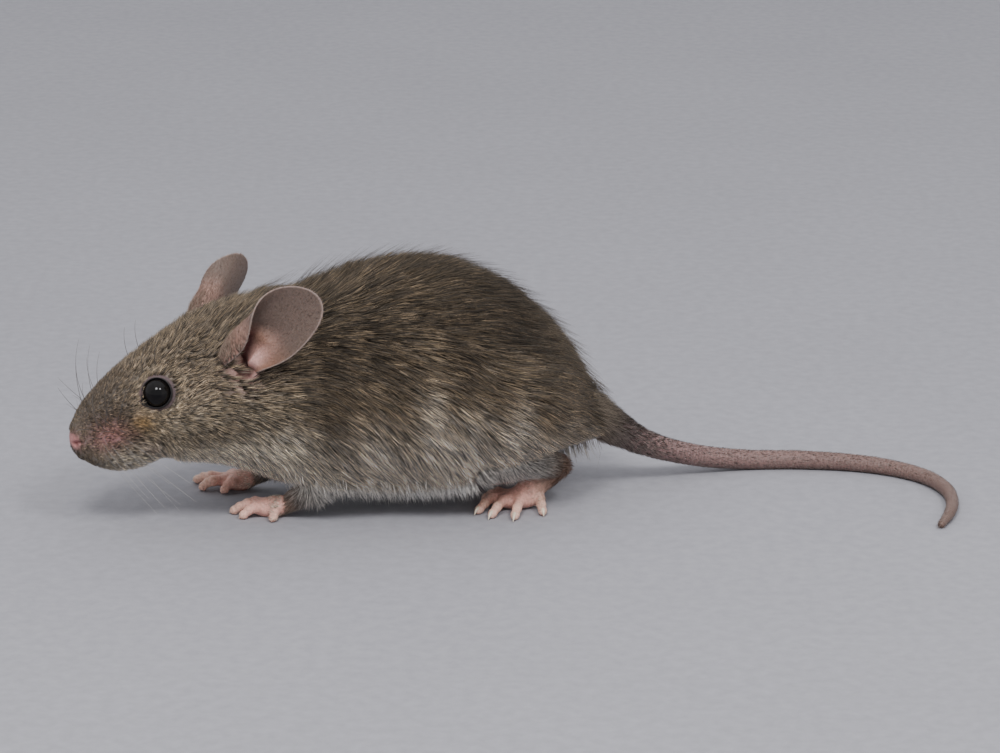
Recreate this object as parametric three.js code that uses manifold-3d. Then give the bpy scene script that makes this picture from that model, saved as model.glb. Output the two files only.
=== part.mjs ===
// A house mouse (Mus musculus) at life size: a still figure that crouches on all fours, its head
// turned a little to its left and its tail laid along the floor.
// Millimetres, +Z up. The mouse faces -X, its left side faces -Y, and z = 0 is the floor.
//
// Trunk, neck and head are one smooth distance field (negative inside), turned into a mesh and
// parted by thin cuts. Limbs, digits and tail are tapered tubes, and ears are bent shells. The
// outer surface is the tips of the coat.

import * as THREE from "three";
import { mergeVertices } from "three/addons/utils/BufferGeometryUtils.js";
import Module from "manifold-3d";

const wasm = await Module();
wasm.setup();

// ---------------------------------------------------------------- driving dimensions

const GAP = 0.3; // between neighbouring pieces
const SLIVER = 0.02; // triangles thinner than this are merged away
const DEGREE = Math.PI / 180;

// Trunk: [x, top, bottom, half width, middle y], from the nape to the root of the tail.
const TRUNK = [
  [-44.0, 28.0, 10.8, 8.5, -4.2],
  [-40.9, 30.2, 8.6, 10.0, -3.5],
  [-36.0, 32.3, 6.0, 11.8, -2.8],
  [-30.3, 35.4, 3.9, 13.2, -2.2],
  [-21.2, 38.5, 1.9, 15.2, -1.0],
  [-13.0, 39.2, 1.4, 16.3, 0.0],
  [-6.1, 38.1, 2.2, 16.8, 0.9],
  [-1.5, 35.9, 3.5, 16.6, 1.5],
  [3.0, 32.6, 4.6, 15.6, 2.2],
  [7.6, 28.0, 5.8, 13.4, 3.0],
  [11.4, 22.3, 6.8, 10.0, 3.9],
  [14.4, 16.9, 7.6, 5.8, 4.7],
  [16.6, 13.6, 8.1, 3.0, 5.3],
];
const TRUNK_ROUNDNESS = 2.15; // superellipse power; 2 is an ellipse
const TRUNK_WIDEST = 0.43; // share of the height at which the trunk is widest
// Upper limbs under the coat: both ends as [x, out from the midline, z, radius].
const THIGH = [[2.2, 6.8, 16.5, 8.6], [-6.0, 9.2, 10.2, 6.2]];
const UPPER_ARM = [[-31.0, 6.0, 17.5, 7.0], [-25.0, 8.2, 10.5, 5.2]];

// Head, in its own frame: [back from the nose tip, top, bottom, half width, middle].
const NOSE_TIP = [-63.3, -14.0, 14.4];
const HEAD_YAW = 22 * DEGREE; // to the mouse's left
const HEAD_PITCH = 11 * DEGREE; // nose down
const SKULL = [
  [0.3, 2.3, -2.9, 2.2, 0],
  [2.3, 4.7, -4.6, 3.4, 0],
  [5.4, 6.9, -5.8, 4.6, 0],
  [8.8, 8.8, -6.3, 5.6, 0],
  [12.4, 10.4, -6.2, 6.6, 0],
  [16.4, 11.8, -6.3, 7.7, 0],
  [20.4, 12.9, -6.9, 8.8, 0],
  [25.0, 13.2, -8.4, 9.8, 0],
  [31.0, 13.0, -10.4, 11.0, 0],
  [35.0, 12.6, -11.6, 11.6, 0],
];
const SKULL_ROUNDNESS = 2.1;
const SKULL_WIDEST = 0.46;
const NOSE_PAD = { at: [1.1, 0, -0.5], size: [1.7, 2.1, 2.0] };
const WHISKER_PAD = { at: [5.4, 2.5, -1.9], size: [3.9, 2.5, 3.2] };
const CHIN = { at: [8.4, 0, -4.6], size: [4.2, 2.9, 2.2] };
const CHEEK = { at: [18.0, 4.8, -1.6], size: [6.6, 4.6, 5.0] };
const EAR_MOUND = { at: [25.6, 6.4, 6.6], size: [4.4, 3.0, 4.2] };

// Widths of the fillets that join each mass to what it grows from.
const FILLET = { nose: 1.5, chin: 2, whiskers: 2, cheek: 4, ear: 3, limb: 5, neck: 7 };

// Eye, in the head's frame: [back, out, up].
const EYE_AT = [12.7, 5.3, 5.1];
const EYE_RADIUS = 2.15;

// Ear, in the head's frame. It grows from root along its length and opens towards opening.
const EAR_ROOT = [24.4, 8.1, 3.5];
const EARS = {
  left: { along: [0.63, 0.37, 0.68], opening: [-0.6, 0.75, 0.1] },
  right: { along: [0.67, 0.53, 0.52], opening: [-0.1, 0.97, 0.2] },
};
const EAR = { length: 19.2, thickness: 0.6, lean: 1.6 }; // lean: how far the tip nods forward
const EAR_HALF_WIDTH = { root: 3.2, blade: 6.3, bladeFrom: 0.55 }; // a share of the length
const EAR_CURL = { root: 2.3, tip: 10.0 }; // radius of curvature across the ear
const EAR_RIM = 0.35; // power that squares the rim off; 1 is a sharp ellipse

// Limbs: joints down the leg, each [x, y, z, radius]; the last is the wrist or the hock.
const LIMBS = {
  foreleg_left: [[-24.5, -7.6, 9.0, 3.4], [-28.2, -7.8, 4.7, 2.25], [-31.8, -7.4, 2.2, 1.6]],
  foreleg_right: [[-30.5, 4.8, 9.0, 3.4], [-34.2, 5.6, 4.8, 2.25], [-37.6, 6.0, 2.2, 1.6]],
  hindleg_left: [[-3.0, -8.0, 10.0, 4.0], [4.8, -4.4, 8.0, 2.6], [9.0, -1.8, 6.2, 2.15]],
  hindleg_right: [[-6.0, 13.6, 10.0, 4.0], [1.8, 10.2, 8.0, 2.6], [6.0, 7.6, 6.2, 2.15]],
};

// Paws: where the palm or ball lies, and for each digit its knuckle and its claw's tip, both as
// [ahead of, out from] that place, from the inner digit to the outer one.
const TOES = [[[2.5, -2.2], [5.0, -2.6]], [[3.4, 0.2], [6.0, 4.2]], [[1.7, 1.7], [3.9, 6.3]],
  [[-0.8, 1.9], [0.2, 7.25]], [[-3.8, 1.0], [-4.4, 4.9]]];
const PAWS = {
  hand_left: {
    palm: [-35.2, -6.5, 1.2],
    size: [3.0, 2.1, 1.4],
    digits: [[[1.9, -1.3], [4.8, -2.4]], [[3.0, 0.1], [5.7, -0.3]], [[1.7, 1.3], [4.1, 2.3]],
      [[-1.6, 1.4], [-0.8, 3.9]]],
  },
  hand_right: {
    palm: [-41.0, 6.1, 1.2],
    size: [3.0, 2.2, 1.4],
    digits: [[[0.2, -1.9], [1.8, -3.0]], [[3.2, -1.2], [5.3, -1.2]], [[3.6, 0.9], [6.6, 2.8]],
      [[0.3, 2.0], [1.4, 4.3]]],
  },
  foot_left: { palm: [2.2, -2.9, 1.3], size: [4.1, 2.5, 1.5], digits: TOES },
  foot_right: { palm: [-0.8, 8.7, 1.3], size: [4.1, 2.5, 1.5], digits: TOES },
};
// Digits, from palm to claw: [share of the way from the palm to the knuckle, or past it to the
// claw's tip, height, radius].
const DIGIT = { root: [0.2, 1.5, 1.0], knuckle: [1, 1.75, 0.88], middle: [1.5, 1.4, 0.74],
  pad: [1.75, 0.66, 0.7], clawRoot: [1.86, 0.5, 0.4], clawTip: [2, 0.16, 0.12] };

// Tail: [x, y, z, radius] from its root to its tip.
const TAIL = [
  [11.0, 3.7, 14.0, 3.6],
  [16.2, 5.2, 10.9, 2.75],
  [22.8, 8.8, 6.4, 2.0],
  [30.6, 13.0, 3.1, 1.75],
  [38.5, 15.5, 1.6, 1.6],
  [47.0, 15.8, 1.45, 1.5],
  [55.6, 14.5, 1.35, 1.4],
  [61.9, 11.7, 1.25, 1.3],
  [66.2, 7.6, 1.18, 1.22],
  [68.5, 2.2, 1.08, 1.12],
  [68.8, -3.2, 0.98, 1.02],
  [67.8, -8.4, 0.86, 0.9],
  [66.2, -12.6, 0.62, 0.66],
];
const TAIL_CUTS = [0.36, 0.58, 0.79]; // shares of the tail's length

// Grids that the surfaces are made on: the corners of the box and the size of a cell.
const HEAD_GRID = { low: [-70, -29, -1], high: [-24, 15, 42], cell: 2.0 };
const TRUNK_GRID = { low: [-62, -24, -2], high: [20.5, 26, 44], cell: 3.3 };

// ---------------------------------------------------------------- distance fields

const clamp = (value, low, high) => Math.min(Math.max(value, low), high);
const mirror = ([x, y, z], side) => [x, y * side, z];

// Smooth curves through rows [x, a, b, ...]: gives [a, b, ...] at any x, level past the ends.
function curvesThrough(rows) {
  const last = rows.length - 1;
  const slope = (i, k) => {
    const [before, after] = [rows[Math.max(i - 1, 0)], rows[Math.min(i + 1, last)]];
    return (after[k] - before[k]) / (after[0] - before[0]);
  };
  return (x) => {
    const at = clamp(x, rows[0][0], rows[last][0]);
    const i = clamp(rows.findIndex((row) => row[0] >= at) - 1, 0, last - 1);
    const [a, b] = [rows[i], rows[i + 1]];
    const width = b[0] - a[0];
    const t = (at - a[0]) / width;
    return a.slice(1).map((start, j) => {
      const k = j + 1;
      const [rise, fall] = [slope(i, k) * width, slope(i + 1, k) * width];
      const change = b[k] - start;
      return start + t * (rise + t * (3 * change - 2 * rise - fall + t * (rise + fall - 2 * change)));
    });
  };
}

// A body with superellipse cross-sections between a top and a bottom line, widest at a share
// of its height.
function loft(rows, roundness, widest) {
  const at = curvesThrough(rows);
  const step = 0.05;
  const level = (x, y, z) => {
    const [top, bottom, half, middle] = at(x);
    const across = Math.abs(y - middle) / half;
    const waist = bottom + (top - bottom) * widest;
    const up = Math.abs(z - waist) / (z > waist ? top - waist : waist - bottom);
    return (across ** roundness + up ** roundness) ** (1 / roundness) - 1;
  };
  return (x, y, z) => {
    const here = level(x, y, z);
    const steepness = Math.hypot(
      level(x + step, y, z) - level(x - step, y, z),
      level(x, y + step, z) - level(x, y - step, z),
      level(x, y, z + step) - level(x, y, z - step),
    ) / (2 * step);
    return Math.max(here / Math.max(steepness, 0.01), rows[0][0] - x, x - rows[rows.length - 1][0]);
  };
}

// A cone with round ends, from [x, y, z, radius] to another.
function roundCone([ax, ay, az, ra], [bx, by, bz, rb]) {
  const [lx, ly, lz] = [bx - ax, by - ay, bz - az];
  const length = Math.hypot(lx, ly, lz);
  const slant = (ra - rb) / length;
  const stretch = Math.sqrt(1 - slant * slant);
  return (x, y, z) => {
    const [px, py, pz] = [x - ax, y - ay, z - az];
    const along = (px * lx + py * ly + pz * lz) / length;
    const out = Math.sqrt(Math.max(px * px + py * py + pz * pz - along * along, 0));
    const t = clamp(along - (out * slant) / stretch, 0, length);
    return Math.hypot(out, along - t) - (ra + (rb - ra) * (t / length));
  };
}

function ellipsoid({ at, size }, side = 1) {
  const [cx, cy, cz] = mirror(at, side);
  const [a, b, c] = size;
  return (x, y, z) => {
    const [u, v, w] = [(x - cx) / a, (y - cy) / b, (z - cz) / c];
    const near = Math.hypot(u, v, w);
    return (near * (near - 1)) / Math.max(Math.hypot(u / a, v / b, w / c), 1e-6);
  };
}

// Joins two distances with a fillet of about the given width.
function blend(a, b, width) {
  const overlap = Math.max(width - Math.abs(a - b), 0) / width;
  return Math.min(a, b) - (overlap * overlap * width) / 4;
}

const headMatrix = new THREE.Matrix4()
  .makeTranslation(...NOSE_TIP)
  .multiply(new THREE.Matrix4().makeRotationZ(HEAD_YAW))
  .multiply(new THREE.Matrix4().makeRotationY(-HEAD_PITCH));
// The head's frame is [back, out to the right, up]; its left is -y, as the trunk's is.
const intoHead = headMatrix.clone().invert();

const SIDES = { left: -1, right: 1 };
const bothSides = Object.values(SIDES);

const skull = loft(SKULL, SKULL_ROUNDNESS, SKULL_WIDEST);
const nosePad = ellipsoid(NOSE_PAD);
const chin = ellipsoid(CHIN);
const whiskerPads = bothSides.map((side) => ellipsoid(WHISKER_PAD, side));
const cheeks = bothSides.map((side) => ellipsoid(CHEEK, side));
const earMounds = bothSides.map((side) => ellipsoid(EAR_MOUND, side));

function headField(x, y, z) {
  const p = new THREE.Vector3(x, y, z).applyMatrix4(intoHead);
  let d = blend(skull(p.x, p.y, p.z), nosePad(p.x, p.y, p.z), FILLET.nose);
  d = blend(d, chin(p.x, p.y, p.z), FILLET.chin);
  for (const pad of whiskerPads) d = blend(d, pad(p.x, p.y, p.z), FILLET.whiskers);
  for (const cheek of cheeks) d = blend(d, cheek(p.x, p.y, p.z), FILLET.cheek);
  for (const mound of earMounds) d = blend(d, mound(p.x, p.y, p.z), FILLET.ear);
  return d;
}

const trunk = loft(TRUNK, TRUNK_ROUNDNESS, TRUNK_WIDEST);
const trunkMiddle = curvesThrough(TRUNK.map(([x, , , , middle]) => [x, middle]));
const limbMasses = [THIGH, UPPER_ARM].flatMap((ends) =>
  bothSides.map((side) =>
    roundCone(...ends.map(([x, out, z, radius]) => [x, out * side + trunkMiddle(x)[0], z, radius])),
  ),
);

function bodyField(x, y, z) {
  let d = trunk(x, y, z);
  for (const mass of limbMasses) d = blend(d, mass(x, y, z), FILLET.limb);
  return blend(d, headField(x, y, z), FILLET.neck);
}

// ---------------------------------------------------------------- meshes from fields and curves

// Moves a point on to the surface where the field equals grow, along the field's slope.
function settle(field, start, grow) {
  const step = 0.1;
  let p = start;
  for (let pass = 0; pass < 2; pass++) {
    const excess = field(...p) - grow;
    const slope = [0, 1, 2].map((axis) => {
      const [back, ahead] = [-step, step].map((by) => field(...p.map((c, q) => c + (q === axis ? by : 0))));
      return (ahead - back) / (2 * step);
    });
    const steepness = slope.reduce((sum, c) => sum + c * c, 0);
    p = p.map((c, axis) => c - (excess * slope[axis]) / Math.max(steepness, 0.1));
  }
  return p;
}

// Surface nets: one vertex in each grid cell that the surface crosses, one quad across each
// grid edge that it crosses. grow moves the surface outwards.
function polygonise(field, { low, high, cell }, grow = 0) {
  const size = low.map((a, i) => Math.ceil((high[i] - a) / cell) + 1);
  const point = (i, j, k) => [low[0] + i * cell, low[1] + j * cell, low[2] + k * cell];
  const index = (i, j, k) => i + size[0] * (j + size[1] * k);
  const value = new Float64Array(size[0] * size[1] * size[2]);
  for (let k = 0; k < size[2]; k++)
    for (let j = 0; j < size[1]; j++)
      for (let i = 0; i < size[0]; i++) {
        const rim = [i, j, k].some((n, axis) => n === 0 || n === size[axis] - 1);
        value[index(i, j, k)] = rim ? cell : field(...point(i, j, k)) - grow;
      }

  const corners = [...Array(8).keys()].map((n) => [n & 1, (n >> 1) & 1, n >> 2]);
  const edges = corners.flatMap((a, m) =>
    corners.slice(m + 1).flatMap((b, n) =>
      a.filter((c, axis) => c !== b[axis]).length === 1 ? [[m, m + 1 + n]] : [],
    ),
  );
  const vertexOf = new Map();
  const vertices = [];
  for (let k = 0; k < size[2] - 1; k++)
    for (let j = 0; j < size[1] - 1; j++)
      for (let i = 0; i < size[0] - 1; i++) {
        const at = corners.map(([a, b, c]) => value[index(i + a, j + b, k + c)]);
        const crossed = edges.filter(([m, n]) => at[m] < 0 !== at[n] < 0);
        if (!crossed.length) continue;
        const sum = [0, 0, 0];
        for (const [m, n] of crossed) {
          const t = at[m] / (at[m] - at[n]);
          for (let axis = 0; axis < 3; axis++)
            sum[axis] += corners[m][axis] + t * (corners[n][axis] - corners[m][axis]);
        }
        vertexOf.set(index(i, j, k), vertices.length / 3);
        const start = point(i, j, k).map((p, axis) => p + (sum[axis] / crossed.length) * cell);
        vertices.push(...settle(field, start, grow));
      }

  const faces = [];
  for (let k = 0; k < size[2] - 1; k++)
    for (let j = 0; j < size[1] - 1; j++)
      for (let i = 0; i < size[0] - 1; i++) {
        const here = value[index(i, j, k)] < 0;
        const ahead = [[1, 0, 0], [0, 1, 0], [0, 0, 1]];
        ahead.forEach(([a, b, c], axis) => {
          if (here === value[index(i + a, j + b, k + c)] < 0) return;
          const [u, v] = [ahead[(axis + 1) % 3], ahead[(axis + 2) % 3]];
          const quad = [[0, 0], [1, 0], [1, 1], [0, 1]].map(([m, n]) =>
            vertexOf.get(index(...[i, j, k].map((p, q) => p - m * u[q] - n * v[q]))),
          );
          if (!here) quad.reverse();
          const gap = (m, n) =>
            Math.hypot(...[0, 1, 2].map((q) => vertices[m * 3 + q] - vertices[n * 3 + q]));
          if (gap(quad[1], quad[3]) < gap(quad[0], quad[2])) quad.push(quad.shift());
          faces.push(quad[0], quad[1], quad[2], quad[0], quad[2], quad[3]);
        });
      }
  const geometry = new THREE.BufferGeometry();
  geometry.setAttribute("position", new THREE.Float32BufferAttribute(vertices, 3));
  return geometry.setIndex(faces);
}

// A tube with bevelled ends through points [x, y, z, radius].
const TUBE_END = { width: 0.55, length: 0.67 }; // the bevel's end, in radii of the tube
function taperedTube(points, sides, steps) {
  const curve = new THREE.CatmullRomCurve3(points.map(([x, y, z]) => new THREE.Vector3(x, y, z)));
  const thickness = new THREE.CatmullRomCurve3(points.map((p) => new THREE.Vector3(p[3], 0, 0)));
  const frames = curve.computeFrenetFrames(steps);
  const rings = [];
  const ring = (step, radius, shift) => {
    const t = step / steps;
    const centre = curve.getPoint(t).addScaledVector(frames.tangents[step], shift);
    rings.push({ centre, radius, normal: frames.normals[step], binormal: frames.binormals[step] });
  };
  const [start, end] = [thickness.getPoint(0).x, thickness.getPoint(1).x];
  ring(0, start * TUBE_END.width, -start * TUBE_END.length);
  for (let step = 0; step <= steps; step++) ring(step, thickness.getPoint(step / steps).x, 0);
  ring(steps, end * TUBE_END.width, end * TUBE_END.length);

  const vertices = rings.flatMap(({ centre, radius, normal, binormal }) =>
    [...Array(sides).keys()].flatMap((n) => {
      const angle = (2 * Math.PI * n) / sides;
      return centre
        .clone()
        .addScaledVector(normal, radius * Math.cos(angle))
        .addScaledVector(binormal, radius * Math.sin(angle))
        .toArray();
    }),
  );
  const faces = [];
  for (let r = 0; r < rings.length - 1; r++)
    for (let n = 0; n < sides; n++) {
      const [a, b] = [r * sides + n, r * sides + ((n + 1) % sides)];
      faces.push(a, b, a + sides, b, b + sides, a + sides);
    }
  for (let n = 1; n < sides - 1; n++) {
    const last = (rings.length - 1) * sides;
    faces.push(0, n + 1, n, last, last + n, last + n + 1);
  }
  const geometry = new THREE.BufferGeometry();
  geometry.setAttribute("position", new THREE.Float32BufferAttribute(vertices, 3));
  return geometry.setIndex(faces);
}

// ---------------------------------------------------------------- solids

function withSharedVertices(geometry) {
  const bare = new THREE.BufferGeometry();
  bare.setAttribute("position", geometry.getAttribute("position").clone());
  if (geometry.index) bare.setIndex(geometry.index.clone());
  return mergeVertices(bare, 1e-4);
}

function solid(geometry) {
  const merged = withSharedVertices(geometry);
  const kept = [];
  const { array } = merged.index;
  for (let i = 0; i < array.length; i += 3) {
    const [a, b, c] = array.slice(i, i + 3);
    if (a !== b && b !== c && a !== c) kept.push(a, b, c);
  }
  const made = new wasm.Manifold(
    new wasm.Mesh({
      numProp: 3,
      vertProperties: new Float32Array(merged.attributes.position.array),
      triVerts: new Uint32Array(kept),
    }),
  );
  if (made.volume() <= 0) throw new Error("a solid is inside out");
  return made;
}

const largest = (body) => body.decompose().sort((a, b) => b.volume() - a.volume())[0];
const joined = (solids) => solids.reduce((all, next) => all.add(next));

function geometryOf(manifold) {
  const mesh = manifold.simplify(SLIVER).getMesh();
  const positions = new Float32Array(mesh.numVert * 3);
  for (let i = 0; i < mesh.numVert; i++)
    positions.set(mesh.vertProperties.subarray(i * mesh.numProp, i * mesh.numProp + 3), i * 3);
  const geometry = new THREE.BufferGeometry();
  geometry.setAttribute("position", new THREE.BufferAttribute(positions, 3));
  geometry.setIndex(new THREE.BufferAttribute(new Uint32Array(mesh.triVerts), 1));
  return geometry;
}

// A box that starts at a plane and reaches far along its normal; the rest is cut away by it.
const FAR = 200;
function halfSpace(point, normal) {
  const turn = new THREE.Quaternion().setFromUnitVectors(
    new THREE.Vector3(0, 0, 1),
    new THREE.Vector3(...normal).normalize(),
  );
  const box = new THREE.BoxGeometry(FAR, FAR, FAR).translate(0, 0, FAR / 2);
  return solid(box.applyQuaternion(turn).translate(...point));
}

// Parts a solid at a plane and leaves half the gap on each side: [behind, ahead of] the normal.
function part(body, point, normal) {
  const unit = new THREE.Vector3(...normal).normalize();
  const shifted = (by) => new THREE.Vector3(...point).addScaledVector(unit, by).toArray();
  const behind = body.subtract(halfSpace(shifted(-GAP / 2), normal));
  const ahead = body.intersect(halfSpace(shifted(GAP / 2), normal));
  return [behind, ahead];
}

const aboveFloor = halfSpace([0, 0, 0], [0, 0, 1]);

// ---------------------------------------------------------------- head, neck and trunk

const headPoint = (p) => new THREE.Vector3(...p).applyMatrix4(headMatrix).toArray();
const headDirection = (p) => new THREE.Vector3(...p).transformDirection(headMatrix).toArray();

const HEAD_END = { at: headPoint([29.5, 0, 0]), normal: headDirection([1, 0, 0]) };
const TRUNK_AXIS = [0.99, 0.13, 0];
const NECK_END = { at: [-25.5, -1.4, 20], normal: TRUNK_AXIS };
const CHEST_END = { at: [-12.0, 0, 20], normal: TRUNK_AXIS };
const BELLY_END = { at: [1.5, 1.8, 20], normal: TRUNK_AXIS };

function eyeSolid(side, grow = 0) {
  const ball = new THREE.SphereGeometry(EYE_RADIUS + grow, 12, 8);
  return solid(ball.translate(...headPoint(mirror(EYE_AT, side))));
}

function headSolid() {
  const whole = solid(polygonise(bodyField, HEAD_GRID));
  const [head] = part(whole, HEAD_END.at, HEAD_END.normal);
  return bothSides.reduce((left, side) => left.subtract(eyeSolid(side, GAP)), head);
}

function trunkLengths() {
  const whole = solid(polygonise(bodyField, TRUNK_GRID));
  const [, behindHead] = part(whole, HEAD_END.at, HEAD_END.normal);
  const [neck, trunkPiece] = part(behindHead, NECK_END.at, NECK_END.normal);
  const [chest, loins] = part(trunkPiece, CHEST_END.at, CHEST_END.normal);
  const [belly, rump] = part(loins, BELLY_END.at, BELLY_END.normal);
  return { neck, chest, belly, rump };
}

// The body a little larger, which ears, limbs and tail are cut back from.
const grownHead = solid(polygonise(bodyField, HEAD_GRID, GAP));
const grownTrunk = solid(polygonise(bodyField, TRUNK_GRID, GAP));

// ---------------------------------------------------------------- ears

// A flattened sphere bent into a bowl: its poles are the ear's root and tip.
function earSolid(name) {
  const side = SIDES[name];
  const along = new THREE.Vector3(...mirror(EARS[name].along, side)).normalize();
  const opening = new THREE.Vector3(...mirror(EARS[name].opening, side));
  opening.addScaledVector(along, -opening.dot(along)).normalize();
  const across = new THREE.Vector3().crossVectors(along, opening);
  const root = new THREE.Vector3(...mirror(EAR_ROOT, side));

  const ear = withSharedVertices(new THREE.SphereGeometry(1, 18, 12));
  const position = ear.getAttribute("position");
  for (let i = 0; i < position.count; i++) {
    const v = new THREE.Vector3().fromBufferAttribute(position, i);
    const u = (v.y + 1) / 2;
    const widening = THREE.MathUtils.smoothstep(u, 0, EAR_HALF_WIDTH.bladeFrom);
    const width = THREE.MathUtils.lerp(EAR_HALF_WIDTH.root, EAR_HALF_WIDTH.blade, widening);
    const radius = THREE.MathUtils.lerp(EAR_CURL.root, EAR_CURL.tip, u);
    const layer = (Math.sign(v.z) * Math.abs(v.z) ** EAR_RIM * EAR.thickness) / 2;
    const angle = (v.x * width) / radius;
    const p = root
      .clone()
      .addScaledVector(along, u * EAR.length)
      .addScaledVector(opening, EAR.lean * u * u + radius - (radius - layer) * Math.cos(angle))
      .addScaledVector(across, (radius - layer) * Math.sin(angle));
    position.setXYZ(i, ...p.applyMatrix4(headMatrix).toArray());
  }
  return solid(ear).subtract(grownHead);
}

// ---------------------------------------------------------------- paws, limbs and tail

// Shares of the way from the wrist or hock to the palm.
const INSTEP = 0.65;
const PAW_CUT = 0.25;
const between = (a, b, share) => [0, 1, 2].map((axis) => a[axis] + (b[axis] - a[axis]) * share);

// A point part of the way along palm, knuckle (at 1) and claw tip (at 2).
function alongDigit(knuckle, tip, share) {
  return [0, 1].map((axis) =>
    share < 1 ? knuckle[axis] * share : knuckle[axis] + (tip[axis] - knuckle[axis]) * (share - 1),
  );
}

function pawSolid({ palm, size, digits }, side) {
  const [x, y, z] = palm;
  const pad = new THREE.SphereGeometry(1, 10, 6).rotateX(Math.PI / 2).scale(...size).translate(x, y, z);
  const toes = digits.map(([knuckle, tip]) => {
    const points = Object.values(DIGIT).map(([share, height, radius]) => {
      const [ahead, out] = alongDigit(knuckle, tip, share);
      return [x - ahead, y + out * side, height, radius];
    });
    return taperedTube(points, 5, 5);
  });
  return joined([pad, ...toes].map(solid));
}

// A leg down to the wrist or hock, and the foot from there to the palm: two tubes, because one
// bent as sharply would pass through itself.
function limbSolid(joints, { palm, size }) {
  const last = joints[joints.length - 1];
  const instep = [...between(last, palm, INSTEP), last[3]];
  const foot = [last, instep, [...palm, size[2] * 0.95]];
  return joined([joints, foot].map((points) => solid(taperedTube(points, 8, 4))));
}

function limbParts(limbName, pawName, side) {
  const [joints, paw] = [LIMBS[limbName], PAWS[pawName]];
  const whole = joined([limbSolid(joints, paw), pawSolid(paw, side)]);
  const trimmed = largest(whole.subtract(grownTrunk).intersect(aboveFloor));
  const last = joints[joints.length - 1];
  const down = [0, 1, 2].map((axis) => paw.palm[axis] - last[axis]);
  const [upper, lower] = part(trimmed, between(last, paw.palm, PAW_CUT), down);
  return { [limbName]: largest(upper), [pawName]: largest(lower) };
}

function tailLengths() {
  const curve = new THREE.CatmullRomCurve3(TAIL.map(([x, y, z]) => new THREE.Vector3(x, y, z)));
  const whole = solid(taperedTube(TAIL, 8, 34)).subtract(grownTrunk).intersect(aboveFloor);
  const lengths = {};
  let rest = largest(whole);
  TAIL_CUTS.forEach((share, i) => {
    const pieces = part(rest, curve.getPoint(share).toArray(), curve.getTangent(share).toArray());
    lengths[`tail_${i + 1}`] = pieces[0];
    rest = pieces[1];
  });
  return { ...lengths, [`tail_${TAIL_CUTS.length + 1}`]: rest };
}

// ---------------------------------------------------------------- the mouse

const MATERIALS = {
  coat: new THREE.MeshStandardMaterial({ color: 0x5f564a, roughness: 0.9, metalness: 0 }),
  ear: new THREE.MeshStandardMaterial({ color: 0x8d766c, roughness: 0.75, metalness: 0 }),
  skin: new THREE.MeshStandardMaterial({ color: 0xc79a8b, roughness: 0.65, metalness: 0 }),
  tail: new THREE.MeshStandardMaterial({ color: 0x6f5a54, roughness: 0.8, metalness: 0 }),
  eye: new THREE.MeshStandardMaterial({ color: 0x0b0a0b, roughness: 0.08, metalness: 0 }),
};

const mouse = new THREE.Group();
function addNodes(solids, material) {
  for (const [name, body] of Object.entries(solids)) {
    const mesh = new THREE.Mesh(geometryOf(body), material);
    mesh.name = name;
    mouse.add(mesh);
  }
}

addNodes({ head: headSolid(), ...trunkLengths() }, MATERIALS.coat);
for (const [name, side] of Object.entries(SIDES)) {
  addNodes({ [`ear_${name}`]: earSolid(name) }, MATERIALS.ear);
  addNodes({ [`eye_${name}`]: eyeSolid(side) }, MATERIALS.eye);
  addNodes(limbParts(`foreleg_${name}`, `hand_${name}`, side), MATERIALS.skin);
  addNodes(limbParts(`hindleg_${name}`, `foot_${name}`, side), MATERIALS.skin);
}
addNodes(tailLengths(), MATERIALS.tail);

// The origin goes to the floor under the middle of the whole figure.
const middle = new THREE.Box3().setFromObject(mouse).getCenter(new THREE.Vector3());
mouse.position.set(-middle.x, -middle.y, 0);

export default mouse;
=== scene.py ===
"""The looks of a life-size house mouse that crouches on all fours.

One skin carries the whole figure. Eyes, claws and whiskers are pieces of their own, and a coat
of small tapered hairs grows from the skin. Sizes are millimetres in the figure's working frame
until a mesh is made: the mouse faces -X, its left side faces -Y, and z = 0 is the floor.
"""

import math
from typing import NamedTuple

import bpy
import numpy as np
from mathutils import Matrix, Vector, kdtree


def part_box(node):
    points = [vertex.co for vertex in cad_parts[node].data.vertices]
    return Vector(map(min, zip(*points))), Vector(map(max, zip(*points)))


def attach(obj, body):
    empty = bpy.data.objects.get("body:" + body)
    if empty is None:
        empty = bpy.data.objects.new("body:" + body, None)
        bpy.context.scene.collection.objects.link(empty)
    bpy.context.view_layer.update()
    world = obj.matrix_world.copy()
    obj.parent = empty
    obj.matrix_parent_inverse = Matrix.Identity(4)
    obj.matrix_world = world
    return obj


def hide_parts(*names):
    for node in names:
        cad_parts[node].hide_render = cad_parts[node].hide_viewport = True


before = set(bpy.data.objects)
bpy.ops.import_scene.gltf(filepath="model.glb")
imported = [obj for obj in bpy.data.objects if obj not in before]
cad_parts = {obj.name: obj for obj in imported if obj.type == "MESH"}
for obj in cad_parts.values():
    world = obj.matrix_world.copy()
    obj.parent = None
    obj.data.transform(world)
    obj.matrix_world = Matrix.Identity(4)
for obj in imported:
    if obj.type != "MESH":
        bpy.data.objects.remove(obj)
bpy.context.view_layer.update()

MM = 0.001
SIDES = {"left": -1, "right": 1}
random = np.random.default_rng(20)

# ---------------------------------------------------------------- the body's shape

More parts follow.
